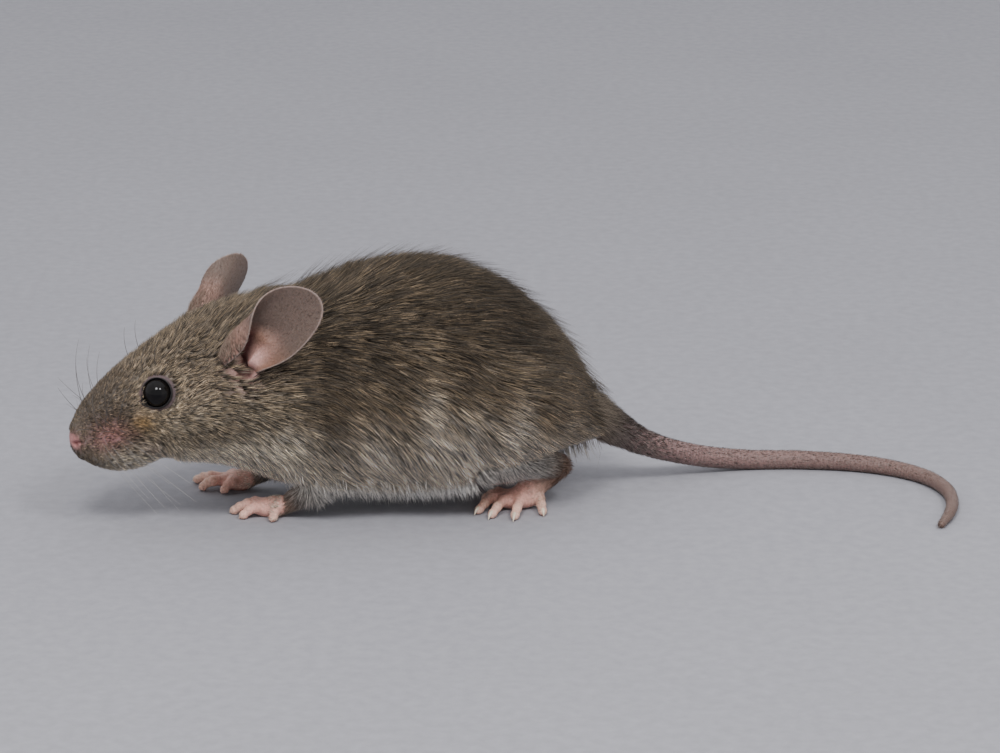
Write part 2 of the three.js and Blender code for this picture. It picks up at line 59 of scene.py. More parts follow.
# Trunk: [x, top, bottom, half width, middle y], from the nape to the root of the tail. It is
# the outline out to the tips of the coat.
TRUNK = [
    [-44.0, 28.0, 10.8, 8.5, -4.2],
    [-40.9, 30.2, 8.6, 10.0, -3.5],
    [-36.0, 32.3, 6.0, 11.8, -2.8],
    [-30.3, 35.4, 3.9, 13.2, -2.2],
    [-21.2, 38.5, 1.9, 15.2, -1.0],
    [-13.0, 39.2, 1.4, 16.3, 0.0],
    [-6.1, 38.1, 2.2, 16.8, 0.9],
    [-1.5, 35.9, 3.5, 16.6, 1.5],
    [3.0, 32.6, 4.6, 15.6, 2.2],
    [7.6, 28.0, 5.8, 13.4, 3.0],
    [11.4, 22.3, 6.8, 10.0, 3.9],
    [14.4, 16.9, 7.6, 5.8, 4.7],
    [16.6, 13.6, 8.1, 3.0, 5.3],
]
TRUNK_ROUNDNESS = 2.15  # superellipse power; 2 is an ellipse
TRUNK_WIDEST = 0.43  # share of the height at which the trunk is widest
# Upper limbs under the coat: both ends as [x, out from the midline, z, radius].
THIGH = [[2.2, 6.8, 16.5, 8.6], [-6.0, 9.2, 10.8, 5.7]]
UPPER_ARM = [[-31.0, 6.0, 17.5, 7.0], [-25.0, 8.2, 10.5, 5.2]]

# Head, in its own frame: [back from the nose tip, top, bottom, half width, middle].
NOSE_TIP = np.array([-63.3, -14.0, 14.4])
HEAD_YAW = math.radians(22)
HEAD_PITCH = math.radians(11)
SKULL = [
    [0.3, 2.3, -2.9, 2.2, 0],
    [2.3, 4.7, -4.6, 3.4, 0],
    [5.4, 6.9, -5.8, 4.6, 0],
    [8.8, 8.8, -6.3, 5.6, 0],
    [12.4, 10.4, -6.2, 6.6, 0],
    [16.4, 11.8, -6.3, 7.7, 0],
    [20.4, 12.9, -6.9, 8.8, 0],
    [25.0, 13.2, -8.4, 9.8, 0],
    [31.0, 13.0, -10.4, 11.0, 0],
    [35.0, 12.6, -11.6, 11.6, 0],
]
SKULL_ROUNDNESS = 2.1
SKULL_WIDEST = 0.46
NOSE_PAD = {"at": [1.1, 0, -0.5], "size": [1.7, 2.1, 2.0]}
WHISKER_PAD = {"at": [5.4, 2.5, -1.9], "size": [3.9, 2.5, 3.2]}
CHIN = {"at": [8.4, 0, -4.6], "size": [4.2, 2.9, 2.2]}
CHEEK = {"at": [18.0, 4.8, -1.6], "size": [6.6, 4.6, 5.0]}
EAR_MOUND = {"at": [25.6, 6.4, 6.6], "size": [4.4, 3.0, 4.2]}
FILLET = {"nose": 1.5, "chin": 2, "whiskers": 2, "cheek": 4, "ear": 3, "limb": 5, "neck": 7}

# How deep the coat lies over the skin: [back from the nose tip, depth], then on the trunk.
HEAD_COAT = [[0, 0.02], [3, 0.12], [8, 0.4], [14, 0.75], [24, 1.1], [38, 2.2]]
TRUNK_COAT = [[8, 2.2], [17, 0.9]]  # [x, depth]

EYE_AT = [12.7, 5.3, 5.1]  # [back, out, up] in the head's frame
EYE_RADIUS = 2.15


def unit(v):
    return v / np.maximum(np.linalg.norm(v, axis=-1, keepdims=True), 1e-9)


def lerp(a, b, share):
    return a + (b - a) * share


def smooth(x, low, high):
    t = np.clip((x - low) / (high - low), 0, 1)
    return t * t * (3 - 2 * t)


def hill(x):
    """1 at 0, fading to 0 at about 2 on either side."""
    return np.exp(-x * x)


def dot(a, b):
    return (a * b).sum(-1, keepdims=True)


def row_size(rows):
    """A function of x through rows [x, size], straight between them."""
    return lambda x: np.interp(x, *np.array(rows).T)


def curves_through(rows):
    """Smooth curves through rows [x, a, b, ...]: gives (a, b, ...) at any x, level past the ends."""
    rows = np.array(rows, float)
    xs, values = rows[:, 0], rows[:, 1:]
    before = np.r_[0, np.arange(len(xs) - 1)]
    after = np.r_[np.arange(1, len(xs)), len(xs) - 1]
    slope = (values[after] - values[before]) / (xs[after] - xs[before])[:, None]
    fine = np.linspace(xs[0], xs[-1], 1500)
    i = np.clip(np.searchsorted(xs, fine) - 1, 0, len(xs) - 2)
    width = (xs[i + 1] - xs[i])[:, None]
    t = (fine - xs[i])[:, None] / width
    rise, fall, change = slope[i] * width, slope[i + 1] * width, values[i + 1] - values[i]
    table = values[i] + t * (
        rise + t * (3 * change - 2 * rise - fall + t * (rise + fall - 2 * change))
    )
    return lambda x: [np.interp(x, fine, column) for column in table.T]


def loft(rows, roundness, widest):
    """Distance to a body with superellipse cross-sections between a top and a bottom line."""
    at = curves_through(rows)
    step = 0.05

    def level(p):
        top, bottom, half, middle = at(p[:, 0])
        waist = bottom + (top - bottom) * widest
        across = np.abs(p[:, 1] - middle) / half
        reach = np.where(p[:, 2] > waist, top - waist, waist - bottom)
        up = np.abs(p[:, 2] - waist) / reach
        return (across**roundness + up**roundness) ** (1 / roundness) - 1

    def distance(p):
        here = level(p)
        ahead = [level(p + step * axis) - here for axis in np.eye(3)]
        steepness = np.sqrt(sum(d * d for d in ahead)) / step
        ends = np.maximum(rows[0][0] - p[:, 0], p[:, 0] - rows[-1][0])
        return np.maximum(here / np.maximum(steepness, 0.01), ends)

    return distance


def round_cone(start, end):
    """Distance to a cone with round ends, from [x, y, z, radius] to another."""
    a, b = np.array(start[:3], float), np.array(end[:3], float)
    ra, rb = start[3], end[3]
    length = np.linalg.norm(b - a)
    axis = (b - a) / length
    slant = (ra - rb) / length
    stretch = math.sqrt(1 - slant * slant)

    def distance(p):
        along = (p - a) @ axis
        out = np.sqrt(np.maximum(((p - a) ** 2).sum(1) - along**2, 0))
        t = np.clip(along - out * slant / stretch, 0, length)
        return np.hypot(out, along - t) - (ra + (rb - ra) * t / length)

    return distance


def chain(points):
    """Distance to a run of round cones through points [x, y, z, radius]."""
    cones = [round_cone(a, b) for a, b in zip(points, points[1:])]
    return lambda p: np.minimum.reduce([cone(p) for cone in cones])


def ellipsoid(at, size):
    def distance(p):
        v = (p - np.array(at)) / np.array(size, float)
        near = np.linalg.norm(v, axis=1)
        return near * (near - 1) / np.maximum(np.linalg.norm(v / np.array(size), axis=1), 1e-6)

    return distance


def blend(a, b, width):
    """Joins two distances with a fillet of about the given width."""
    overlap = np.maximum(width - np.abs(a - b), 0) / width
    return np.minimum(a, b) - overlap * overlap * width / 4


def turn_about_z(angle):
    c, s = math.cos(angle), math.sin(angle)
    return np.array([[c, -s, 0], [s, c, 0], [0, 0, 1]])


def turn_about_y(angle):
    c, s = math.cos(angle), math.sin(angle)
    return np.array([[c, 0, s], [0, 1, 0], [-s, 0, c]])


# The head's frame is [back, out to the right, up], from the nose tip.
HEAD_TURN = turn_about_z(HEAD_YAW) @ turn_about_y(-HEAD_PITCH)


def into_head(p):
    return (p - NOSE_TIP) @ HEAD_TURN


def from_head(q):
    return np.asarray(q) @ HEAD_TURN.T + NOSE_TIP


def spot(q, at, size):
    """1 at a place in the head's frame, fading to 0 at about its size."""
    return np.exp(-(((q - np.array(at)) / np.array(size, float)) ** 2).sum(1))


def both_cheeks(q):
    """Points of the head's frame, with its left half laid over its right."""
    return q * [1, 0, 1] + np.abs(q) * [0, 1, 0]


skull = loft(SKULL, SKULL_ROUNDNESS, SKULL_WIDEST)
nose_pad = ellipsoid(**NOSE_PAD)
chin = ellipsoid(**CHIN)
whisker_pad = ellipsoid(**WHISKER_PAD)
cheek = ellipsoid(**CHEEK)
ear_mound = ellipsoid(**EAR_MOUND)


def head_outline(p):
    q = into_head(p)
    m = both_cheeks(q)
    d = blend(skull(q), nose_pad(q), FILLET["nose"])
    d = blend(d, chin(q), FILLET["chin"])
    d = blend(d, whisker_pad(m), FILLET["whiskers"])
    d = blend(d, cheek(m), FILLET["cheek"])
    return blend(d, ear_mound(m), FILLET["ear"])


trunk = loft(TRUNK, TRUNK_ROUNDNESS, TRUNK_WIDEST)
trunk_middle = curves_through([[x, middle] for x, _, _, _, middle in TRUNK])


def beside_trunk(ends, side):
    return [[x, out * side + trunk_middle(x)[0], z, r] for x, out, z, r in ends]


limb_masses = [round_cone(*beside_trunk(ends, side)) for ends in (THIGH, UPPER_ARM) for side in (-1, 1)]


def body_outline(p):
    """Distance to the outline of head, neck and trunk, out to the coat's tips."""
    d = trunk(p)
    for mass in limb_masses:
        d = blend(d, mass(p), FILLET["limb"])
    return blend(d, head_outline(p), FILLET["neck"])


def coat_depth(p):
    back = into_head(p)[:, 0]
    return lerp(row_size(HEAD_COAT)(back), row_size(TRUNK_COAT)(p[:, 0]), smooth(back, 26, 38))


def body_skin(p):
    """Distance to the skin of head, neck and trunk, without the face's details."""
    return body_outline(p) + coat_depth(p)


def slope_of(field, p, step=0.08):
    return np.stack([(field(p + step * a) - field(p - step * a)) / (2 * step) for a in np.eye(3)], 1)


def settle(field, p, passes=2):
    """Moves points on to the surface where the field is zero, along the field's slope."""
    for _ in range(passes):
        slope = slope_of(field, p)
        p = p - slope * (field(p) / np.maximum((slope**2).sum(1), 0.1))[:, None]
    return p


# ---------------------------------------------------------------- details of the face

# Eyelids: a raised rim round the eye, with a corner towards the nose.
LID = {"radius": 2.16, "corner": 0.5, "corner_at": -0.35, "corner_width": 0.28}
LID_HEIGHT = 0.62
LID_WIDTH = {"inside": 0.16, "outside": 0.42}
LID_CREASE = {"beyond": 0.75, "depth": 0.1, "width": 0.18}
eye_out = unit(slope_of(skull, np.array([EYE_AT], float)))[0]
eye_ahead = unit(np.array([-1.0, 0, 0]) + eye_out * eye_out[0])
eye_up = np.cross(eye_out, eye_ahead)
CANTHUS_TURN, CANTHUS_REACH = 0.35, LID["radius"] + 0.3  # the pink spot by the eye's corner
canthus = CANTHUS_REACH * (math.cos(CANTHUS_TURN) * eye_ahead + math.sin(CANTHUS_TURN) * eye_up)


def on_face(q):
    """The nearest places of the face's plain skin, on its right half."""
    return both_cheeks(into_head(settle(body_skin, from_head(np.array(q, float)), 5)))


PAD_CREASE = {"back": 2.2, "slant": 0.12, "depth": 0.16, "width": 0.35}
PHILTRUM = {"depth": 0.3, "width": 0.24}
NOSTRIL, NOSTRIL_TAIL = on_face([[-0.2, 1.35, -0.25], [0.1, 2.1, 0.15]])
NOSTRIL_SIZE, NOSTRIL_DEPTH = [0.6, 0.42, 0.32], 0.75
NOSTRIL_TAIL_SIZE, NOSTRIL_TAIL_DEPTH = [0.6, 0.5, 0.2], 0.5
MOUTH = [[1.4, 0.0, -3.6], [2.6, 2.2, -4.2], [4.4, 3.6, -4.5], [6.6, 4.4, -3.9], [8.8, 4.9, -3.0]]
MOUTH_DEPTH, MOUTH_WIDTH = 0.45, 0.28
CANAL = [[25.2, 10.0, 5.7], [26.5, 9.2, 8.1], [28.4, 7.4, 9.8]]
CANAL_DEPTH, CANAL_WIDTH = 1.3, 0.9
mouth_line, beside_canal = (chain(np.c_[on_face(line), np.zeros(len(line))]) for line in (MOUTH, CANAL))


def round_eye(m):
    """For points of the head's right half: how far they are beyond the lids' rim."""
    off = m - EYE_AT
    ahead, up = off @ eye_ahead, off @ eye_up
    turned = (np.arctan2(up, ahead) - LID["corner_at"] + np.pi) % (2 * np.pi) - np.pi
    rim = LID["radius"] + LID["corner"] * hill(turned / LID["corner_width"])
    return np.where(np.abs(off @ eye_out) < 3, np.hypot(ahead, up) - rim, 9.0)


def face_relief(q):
    """How far the face's skin stands out from its plain shape: lids, nostrils, grooves, mouth."""
    m = both_cheeks(q)
    beyond = round_eye(m)
    width = np.where(beyond < 0, LID_WIDTH["inside"], LID_WIDTH["outside"])
    relief = LID_HEIGHT * hill(beyond / width)
    relief -= LID_CREASE["depth"] * hill((beyond - LID_CREASE["beyond"]) / LID_CREASE["width"])
    relief -= NOSTRIL_DEPTH * spot(m, NOSTRIL, NOSTRIL_SIZE)
    relief -= NOSTRIL_TAIL_DEPTH * spot(m, NOSTRIL_TAIL, NOSTRIL_TAIL_SIZE)
    relief -= CANAL_DEPTH * hill(beside_canal(m) / CANAL_WIDTH)
    low = smooth(-q[:, 2], 0.2, 1.0) * (1 - smooth(q[:, 0], 2.2, 3.4))
    relief -= low * PHILTRUM["depth"] * hill(q[:, 1] / PHILTRUM["width"])
    crease = q[:, 0] - PAD_CREASE["back"] - PAD_CREASE["slant"] * q[:, 2]
    relief -= PAD_CREASE["depth"] * hill(crease / PAD_CREASE["width"]) * smooth(q[:, 2], -3.5, -1.0)
    return relief - MOUTH_DEPTH * hill(mouth_line(m) / MOUTH_WIDTH)


# ---------------------------------------------------------------- limbs, paws and tail

# Limbs: joints down the leg, each [x, y, z, radius]; the last is the wrist or the hock.
LIMBS = {
    "foreleg_left": [[-24.5, -7.6, 9.0, 3.4], [-28.2, -7.8, 4.7, 2.25], [-31.8, -7.4, 2.2, 1.6]],
    "foreleg_right": [[-30.5, 4.8, 9.0, 3.4], [-34.2, 5.6, 4.8, 2.25], [-37.6, 6.0, 2.2, 1.6]],
    "hindleg_left": [[-3.0, -8.0, 10.0, 4.0], [4.8, -4.4, 8.0, 2.6], [9.0, -1.8, 6.2, 2.15]],
    "hindleg_right": [[-6.0, 13.6, 10.0, 4.0], [1.8, 10.2, 8.0, 2.6], [6.0, 7.6, 6.2, 2.15]],
}
# Paws: where the palm or ball lies, and for each digit its knuckle and its claw's tip, both as
# [ahead of, out from] that place, from the inner digit to the outer one.
TOES = [
    [[2.5, -2.2], [5.0, -2.6]],
    [[3.4, 0.2], [6.0, 4.2]],
    [[1.7, 1.7], [3.9, 6.3]],
    [[-0.8, 1.9], [0.2, 7.25]],
    [[-3.8, 1.0], [-4.4, 4.9]],
]
PAWS = {
    "foreleg_left": {
        "palm": [-35.2, -6.5, 1.2],
        "size": [3.0, 2.1, 1.4],
        "digits": [
            [[1.9, -1.3], [4.8, -2.4]],
            [[3.0, 0.1], [5.7, -0.3]],
            [[1.7, 1.3], [4.1, 2.3]],
            [[-1.6, 1.4], [-0.8, 3.9]],
        ],
    },
    "foreleg_right": {
        "palm": [-41.0, 6.1, 1.2],
        "size": [3.0, 2.2, 1.4],
        "digits": [
            [[0.2, -1.9], [1.8, -3.0]],
            [[3.2, -1.2], [5.3, -1.2]],
            [[3.6, 0.9], [6.6, 2.8]],
            [[0.3, 2.0], [1.4, 4.3]],
        ],
    },
    "hindleg_left": {"palm": [2.2, -2.9, 1.3], "size": [4.1, 2.5, 1.5], "digits": TOES},
    "hindleg_right": {"palm": [-0.8, 8.7, 1.3], "size": [4.1, 2.5, 1.5], "digits": TOES},
}
PAW_NODES = {
    "foreleg_left": "hand_left",
    "foreleg_right": "hand_right",
    "hindleg_left": "foot_left",
    "hindleg_right": "foot_right",
}
# Digits, from palm to pad: [share of the way from the palm to the knuckle, or past it to the
# claw's tip, height, radius].
DIGIT = [
    [0.2, 1.45, 0.95],
    [0.65, 1.62, 0.78],
    [1.0, 1.62, 0.9],
    [1.25, 1.42, 0.66],
    [1.42, 1.28, 0.76],
    [1.6, 0.92, 0.62],
    [1.72, 0.72, 0.7],
    [1.8, 0.62, 0.58],
]
CLAW = [[1.72, 1.0, 0.36], [1.84, 0.98, 0.3], [1.94, 0.68, 0.2], [2.02, 0.2, 0.05]]
INSTEP = 0.65  # share of the way from the wrist or hock to the palm
LIMB_DEPTH = 0.35  # the short coat of a limb, down to the wrist or hock
# Where along each kind of leg the fur gives way to bare skin: 1 is the wrist or hock, 2 the palm.
BARE_FROM = {"foreleg": (0.7, 1.2), "hindleg": (1.15, 1.85)}
DIGIT_RING = 0.5  # from one ring of a digit's skin to the next

# Tail: [x, y, z, radius] from its root to its tip.
TAIL = [
    [11.0, 3.7, 14.0, 3.6],
    [16.2, 5.2, 10.9, 2.75],
    [22.8, 8.8, 6.4, 2.0],
    [30.6, 13.0, 3.1, 1.75],
    [38.5, 15.5, 1.6, 1.6],
    [47.0, 15.8, 1.45, 1.5],
    [55.6, 14.5, 1.35, 1.4],
    [61.9, 11.7, 1.25, 1.3],
    [66.2, 7.6, 1.18, 1.22],
    [68.5, 2.2, 1.08, 1.12],
    [68.8, -3.2, 0.98, 1.02],
    [67.8, -8.4, 0.86, 0.9],
    [66.2, -12.6, 0.62, 0.66],
]
TAIL_DEPTH = 0.08  # of its coat
TAIL_RING = 0.55  # length of one ring of scales


def along_digit(palm, side, digit, rows):
    """Points [x, y, z, radius] from rows [share, height, radius] along a digit: the share is 1 at
    its knuckle and 2 at its claw's tip."""
    knuckle, tip = np.array(digit, float)
    made = []
    for share, height, radius in rows:
        ahead, out = knuckle * share if share < 1 else lerp(knuckle, tip, share - 1)
        made.append([palm[0] - ahead, palm[1] + out * side, height, radius])
    return made


def limb_skin(name):
    """Distance to the skin of one leg and its paw."""
    side = SIDES[name.split("_")[1]]
    joints, paw = LIMBS[name], PAWS[name]
    hock, palm = np.array(joints[-1][:3]), np.array(paw["palm"])
    instep = [*lerp(hock, palm, INSTEP), joints[-1][3] * 0.92]
    slim = [[x, y, z, r - LIMB_DEPTH] for x, y, z, r in joints]
    leg = chain([*slim, instep, [*palm, paw["size"][2] * 0.75]])
    ball = ellipsoid(palm + [0.2, 0, -0.05], np.array(paw["size"]) * [0.86, 0.9, 0.86])
    toes = [chain(along_digit(palm, side, digit, DIGIT)) for digit in paw["digits"]]

    def distance(p):
        d = blend(leg(p), ball(p), 1.2)
        digits = np.minimum.reduce([toe(p) for toe in toes])
        return np.maximum(blend(d, digits, 0.7), -p[:, 2])

    return distance


# ---------------------------------------------------------------- meshes from fields


def surface_net(field, low, high, cell):
    """A closed triangle mesh of the surface where the field is zero: points and faces."""
    low, high = np.array(low, float), np.array(high, float)
    size = np.ceil((high - low) / cell).astype(int) + 1
    stride = 4
    axes = [low[a] + cell * np.arange(size[a]) for a in range(3)]
    rough_axes = [axis[::stride] for axis in axes]
    rough = field(np.stack(np.meshgrid(*rough_axes, indexing="ij"), -1).reshape(-1, 3))
    rough = rough.reshape([len(axis) for axis in rough_axes])
    nearest = [np.clip((np.arange(n) + stride // 2) // stride, 0, r - 1) for n, r in zip(size, rough.shape)]
    value = rough[np.ix_(*nearest)]
    near = np.argwhere(np.abs(value) < stride * cell * 1.3)
    value[tuple(near.T)] = field(low + near * cell)
    inside = value < 0

    corners = [np.array([n & 1, (n >> 1) & 1, n >> 2]) for n in range(8)]
    full = np.zeros(size - 1, int)
    for corner in corners:
        full += inside[tuple(slice(c, s - 1 + c) for c, s in zip(corner, size))]
    crossed = (full > 0) & (full < 8)
    cells = np.argwhere(crossed)
    number = np.full(size - 1, -1)
    number[crossed] = np.arange(len(cells))
    total, count = np.zeros((len(cells), 3)), np.zeros((len(cells), 1))
    for axis in range(3):
        ahead = np.eye(3, dtype=int)[axis]
        for corner in corners:
            if corner[axis]:
                continue
            a = value[tuple((cells + corner).T)]
            b = value[tuple((cells + corner + ahead).T)]
            crossed = (a < 0) != (b < 0)
            t = np.where(crossed, a / np.where(crossed, a - b, 1), 0)
            total += np.where(crossed[:, None], corner + t[:, None] * ahead, 0)
            count += crossed[:, None]
    points = low + (cells + total / count) * cell

    quads = []
    for axis in range(3):
        ahead, u, v = (np.eye(3, dtype=int)[(axis + k) % 3] for k in range(3))
        first = inside[tuple(slice(0, s - a) for s, a in zip(size, ahead))]
        second = inside[tuple(slice(a, s) for s, a in zip(size, ahead))]
        at = np.argwhere(first != second)
        round_edge = [at, at - u, at - u - v, at - v]
        quad = np.stack([number[tuple(cell.T)] for cell in round_edge], 1)
        outward = first[tuple(at.T)]
        quads.append(np.where(outward[:, None], quad, quad[:, ::-1]))
    quads = np.concatenate(quads)
    return settle(field, points), triangles(points, quads)


def triangles(points, quads):
    """Splits each four-sided face along its shorter diagonal."""
    span = lambda a, b: np.linalg.norm(points[quads[:, a]] - points[quads[:, b]], axis=1)
    turned = np.where((span(1, 3) < span(0, 2))[:, None], np.roll(quads, -1, 1), quads)
    return np.concatenate([turned[:, [0, 1, 2]], turned[:, [0, 2, 3]]])


def refine(points, faces, chosen):
    """Splits the chosen triangles in four, and their neighbours in two or three to match."""
    ends = np.sort(np.stack([faces, np.roll(faces, -1, 1)], 2), axis=2)
    edges, number = np.unique(ends[..., 0] * len(points) + ends[..., 1], return_inverse=True)
    number = number.reshape(faces.shape)
    split = np.zeros(len(edges), bool)
    split[number[chosen]] = True
    middle = np.where(split, len(points) + np.cumsum(split) - 1, -1)[number]
    a, b = edges[split] // len(points), edges[split] % len(points)
    grown = np.concatenate([points, (points[a] + points[b]) / 2])

    marked = middle >= 0
    count = marked.sum(1)
    first = np.where(count == 1, marked.argmax(1), (marked.argmin(1) + 1) % 3)
    order = (first[:, None] + np.arange(3)) % 3
    (p, q, r), (pq, qr, rp) = (np.take_along_axis(array, order, 1).T for array in (faces, middle))
    pieces = [
        (count == 0, [(p, q, r)]),
        (count == 1, [(p, pq, r), (pq, q, r)]),
        (count == 2, [(pq, q, qr), (p, pq, qr), (p, qr, r)]),
        (count == 3, [(p, pq, rp), (pq, q, qr), (rp, qr, r), (pq, qr, rp)]),
    ]
    made = [np.stack(corner, 1)[where] for where, corners in pieces for corner in corners]
    return grown, np.concatenate(made)


# ---------------------------------------------------------------- pieces


def middle_of(node):
    low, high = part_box(node)
    return (np.array(low) + np.array(high)) / 2


# The model's frame lies a little beside the working frame; the eye gives the shift.
SHIFT = middle_of("eye_left") - from_head(np.array(EYE_AT) * [1, -1, 1]) * MM
FLOOR = -SHIFT[2] / MM  # the floor's height in the working frame


def srgb(r, g, b):
    """A colour given as it is seen on a screen, from 0 to 255, in linear light."""
    c = np.array([r, g, b]) / 255
    return np.where(c <= 0.04045, c / 12.92, ((c + 0.055) / 1.055) ** 2.4)


def mesh_from(name, points, faces):
    """A mesh of triangles in metres, at its place in the model's frame."""
    mesh = bpy.data.meshes.new(name)
    mesh.vertices.add(len(points))
    mesh.vertices.foreach_set("co", (points * MM + SHIFT).astype(np.float32).ravel())
    mesh.loops.add(faces.size)
    mesh.loops.foreach_set("vertex_index", faces.astype(np.int32).ravel())
    mesh.polygons.add(len(faces))
    mesh.polygons.foreach_set("loop_start", np.arange(0, faces.size, 3, dtype=np.int32))
    mesh.update(calc_edges=True)
    return mesh


def set_tint(mesh, colours):
    """Gives each vertex its marking's colour."""
    tint = mesh.attributes.new("tint", "FLOAT_COLOR", "POINT")
    tint.data.foreach_set("color", np.c_[colours, np.ones(len(colours))].astype(np.float32).ravel())


def set_number(mesh, name, values):
    mesh.attributes.new(name, "FLOAT", "POINT").data.foreach_set("value", values.astype(np.float32))


def add_piece(name, mesh, material, replaced=()):
    piece = bpy.data.objects.new(name, mesh)
    bpy.context.scene.collection.objects.link(piece)
    mesh.materials.append(material)
    mesh.shade_smooth()
    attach(piece, "root")
    if replaced:
        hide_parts(*replaced)
    return piece


# ---------------------------------------------------------------- materials


def new_material(name, roughness, specular):
    made = bpy.data.materials.new(name)
    made.use_nodes = True
    shader = made.node_tree.nodes["Principled BSDF"]
    shader.inputs["Roughness"].default_value = roughness
    shader.inputs["Specular IOR Level"].default_value = specular
    return made, made.node_tree, shader


def node(tree, kind, output, inputs, **settings):
    """Adds a shader node, with a value or a link for each of its inputs, and gives one output."""
    made = tree.nodes.new(f"ShaderNode{kind}")
    for setting, value in settings.items():
        setattr(made, setting, value)
    for key, value in inputs.items():
        if isinstance(value, bpy.types.NodeSocket):
            tree.links.new(value, made.inputs[key])
        else:
            made.inputs[key].default_value = value
    return made.outputs[output]


def attribute(tree, name, output="Color"):
    return node(tree, "Attribute", output, {}, attribute_name=name)


def noise(tree, scale, detail=3.0):
    """Noise over the object, of so many waves per millimetre."""
    place = node(tree, "TexCoord", "Object", {})
    place = node(tree, "Mapping", "Vector", {"Vector": place, "Scale": [scale / MM] * 3})
    return node(tree, "TexNoise", "Fac", {"Vector": place, "Scale": 1.0, "Detail": detail})


USUAL_NOISE = 0.3, 0.7  # most of a noise's values lie between these


def ranged(tree, value, low, high):
    """Spreads a noise's usual range over another one."""
    ends = {"From Min": USUAL_NOISE[0], "From Max": USUAL_NOISE[1], "To Min": low, "To Max": high}
    return node(tree, "MapRange", "Result", {"Value": value, **ends})


def calculate(tree, operation, *values):
    return node(tree, "Math", "Value", dict(enumerate(values)), operation=operation)


def paint(tree, shader, colour, grain):
    """Colours a shader with a colour times a grain."""
    colour = node(tree, "VectorMath", "Vector", {0: colour, "Scale": grain}, operation="SCALE")
    tree.links.new(colour, shader.inputs["Base Color"])


def bumpy(tree, shader, height, depth):
    """Bump of so many millimetres."""
    bump = node(tree, "Bump", "Normal", {"Height": height, "Distance": depth * MM})
    tree.links.new(bump, shader.inputs["Normal"])


def tinted_material(name, roughness, specular, grain, low, high, detail=3.0):
    """A material in its mesh's own tints, varied by a grain of so many waves per millimetre."""
    made, tree, shader = new_material(name, roughness, specular)
    paint(tree, shader, attribute(tree, "tint"), ranged(tree, noise(tree, grain, detail), low, high))
    return made, tree, shader


def coat_material():
    return tinted_material("coat", 0.62, 0.25, 2.2, 0.82, 1.18)[0]


def skin_material():
    """Soft skin with a fine grain, and rings round the tail and the digits."""
    made, tree, shader = tinted_material("skin", 0.52, 0.35, 3.0, 0.8, 1.18, 5.0)
    shader.inputs["Subsurface Weight"].default_value = 0.12
    shader.inputs["Subsurface Radius"].default_value = (0.0012, 0.0005, 0.0003)
    shader.inputs["Subsurface Scale"].default_value = 0.6
    turns = calculate(tree, "MULTIPLY", attribute(tree, "folds", "Fac"), 2 * math.pi)
    rings = calculate(tree, "MULTIPLY", calculate(tree, "SINE", turns), 0.2)
    bumpy(tree, shader, calculate(tree, "ADD", rings, noise(tree, 5.0, 4.0)), 0.09)
    return made


def eye_material():
    made, _, shader = tinted_material("eye", 0.05, 0.13, 1.2, 0.7, 1.3)
    shader.inputs["Coat Weight"].default_value = 0.12
    shader.inputs["Coat Roughness"].default_value = 0.03
    return made


def horn_material(name, roughness):
    return tinted_material(name, roughness, 0.5, 6.0, 0.85, 1.12)[0]


def floor_material():
    """A matt pale floor with a fine grain and faint broad patches."""
    made, tree, shader = new_material("floor", 0.85, 0.2)
    grain, patches = ranged(tree, noise(tree, 0.5), 0.94, 1.06), ranged(tree, noise(tree, 0.02), 0.98, 1.02)
    paint(tree, shader, srgb(146, 145, 151), calculate(tree, "MULTIPLY", grain, patches))
    bumpy(tree, shader, noise(tree, 1.1), 0.05)
    return made


COAT = coat_material()
SKIN = skin_material()
EYE = eye_material()
CLAWS = horn_material("claw", 0.35)
HAIR = horn_material("whisker", 0.4)

# ---------------------------------------------------------------- colours


WAVES = 7


def wander(p, wavelength, seed):
    """Smooth noise from about -1 to 1, with hills about a wavelength across."""
    draw = np.random.default_rng(seed)
    waves = unit(draw.normal(size=(WAVES, 3))) * 2 * np.pi / wavelength
    waves *= draw.uniform(0.7, 1.5, (WAVES, 1))
    return np.sin(p @ waves.T + draw.uniform(0, 2 * np.pi, WAVES)).sum(1) / (WAVES / 2)


BACK = srgb(84, 75, 65)
FLANK = srgb(128, 116, 101)
LOW_FLANK = srgb(206, 199, 190)
BELLY = srgb(230, 226, 220)
FACE = srgb(118, 107, 95)
CROWN = srgb(104, 94, 83)
CHEEKS = srgb(122, 113, 101)
MUZZLE = srgb(132, 92, 90)
NOSE = srgb(166, 114, 110)
OCHRE = srgb(150, 122, 80)
THROAT = srgb(206, 199, 188)
SNOUT = srgb(66, 58, 52)
PALE_SPOT = srgb(190, 176, 166)
LID_SKIN = srgb(88, 74, 75)
LID_RIM = srgb(18, 14, 15)
# Dark red of the nostrils: the skin's own red, darkened by painted shade in their openings.
NOSTRIL_RED_AND_SHADE = srgb(96, 50, 52)
DARK_SPOT = srgb(70, 56, 54)
PALE_RING = srgb(136, 124, 108)
EAR_BASE = srgb(172, 136, 126)
CANTHUS = srgb(170, 140, 138)
PINK = srgb(208, 158, 144)
DIGIT_ENDS = srgb(216, 174, 156)
PAW_HAIR = srgb(190, 176, 160)
SHANK = srgb(98, 76, 64)
EAR_SKIN = srgb(100, 84, 76)
EAR_PINK = srgb(212, 166, 156)
# Dark red of the ear's canal and the hollow under its rolled front wall: the skin's own red, darkened by
# painted shade in the hollow.
EAR_CANAL_RED_AND_SHADE = srgb(74, 36, 34)
EAR_ORANGE = srgb(134, 100, 84)
EAR_RIM = srgb(140, 122, 114)
TAIL_SKIN = srgb(130, 102, 100)
TAIL_TIP = srgb(104, 84, 76)
TAIL_DARK_HAIR = srgb(70, 60, 54)
TAIL_PALE_HAIR = srgb(150, 136, 128)
WHISKER_ROOT = srgb(52, 44, 40)
WHISKER_END = srgb(176, 172, 168)
CLAW_ROOT = srgb(196, 158, 142)
CLAW_END = srgb(206, 192, 172)


def mixed(a, b, share):
    return lerp(a, b, np.clip(share, 0, 1)[:, None])


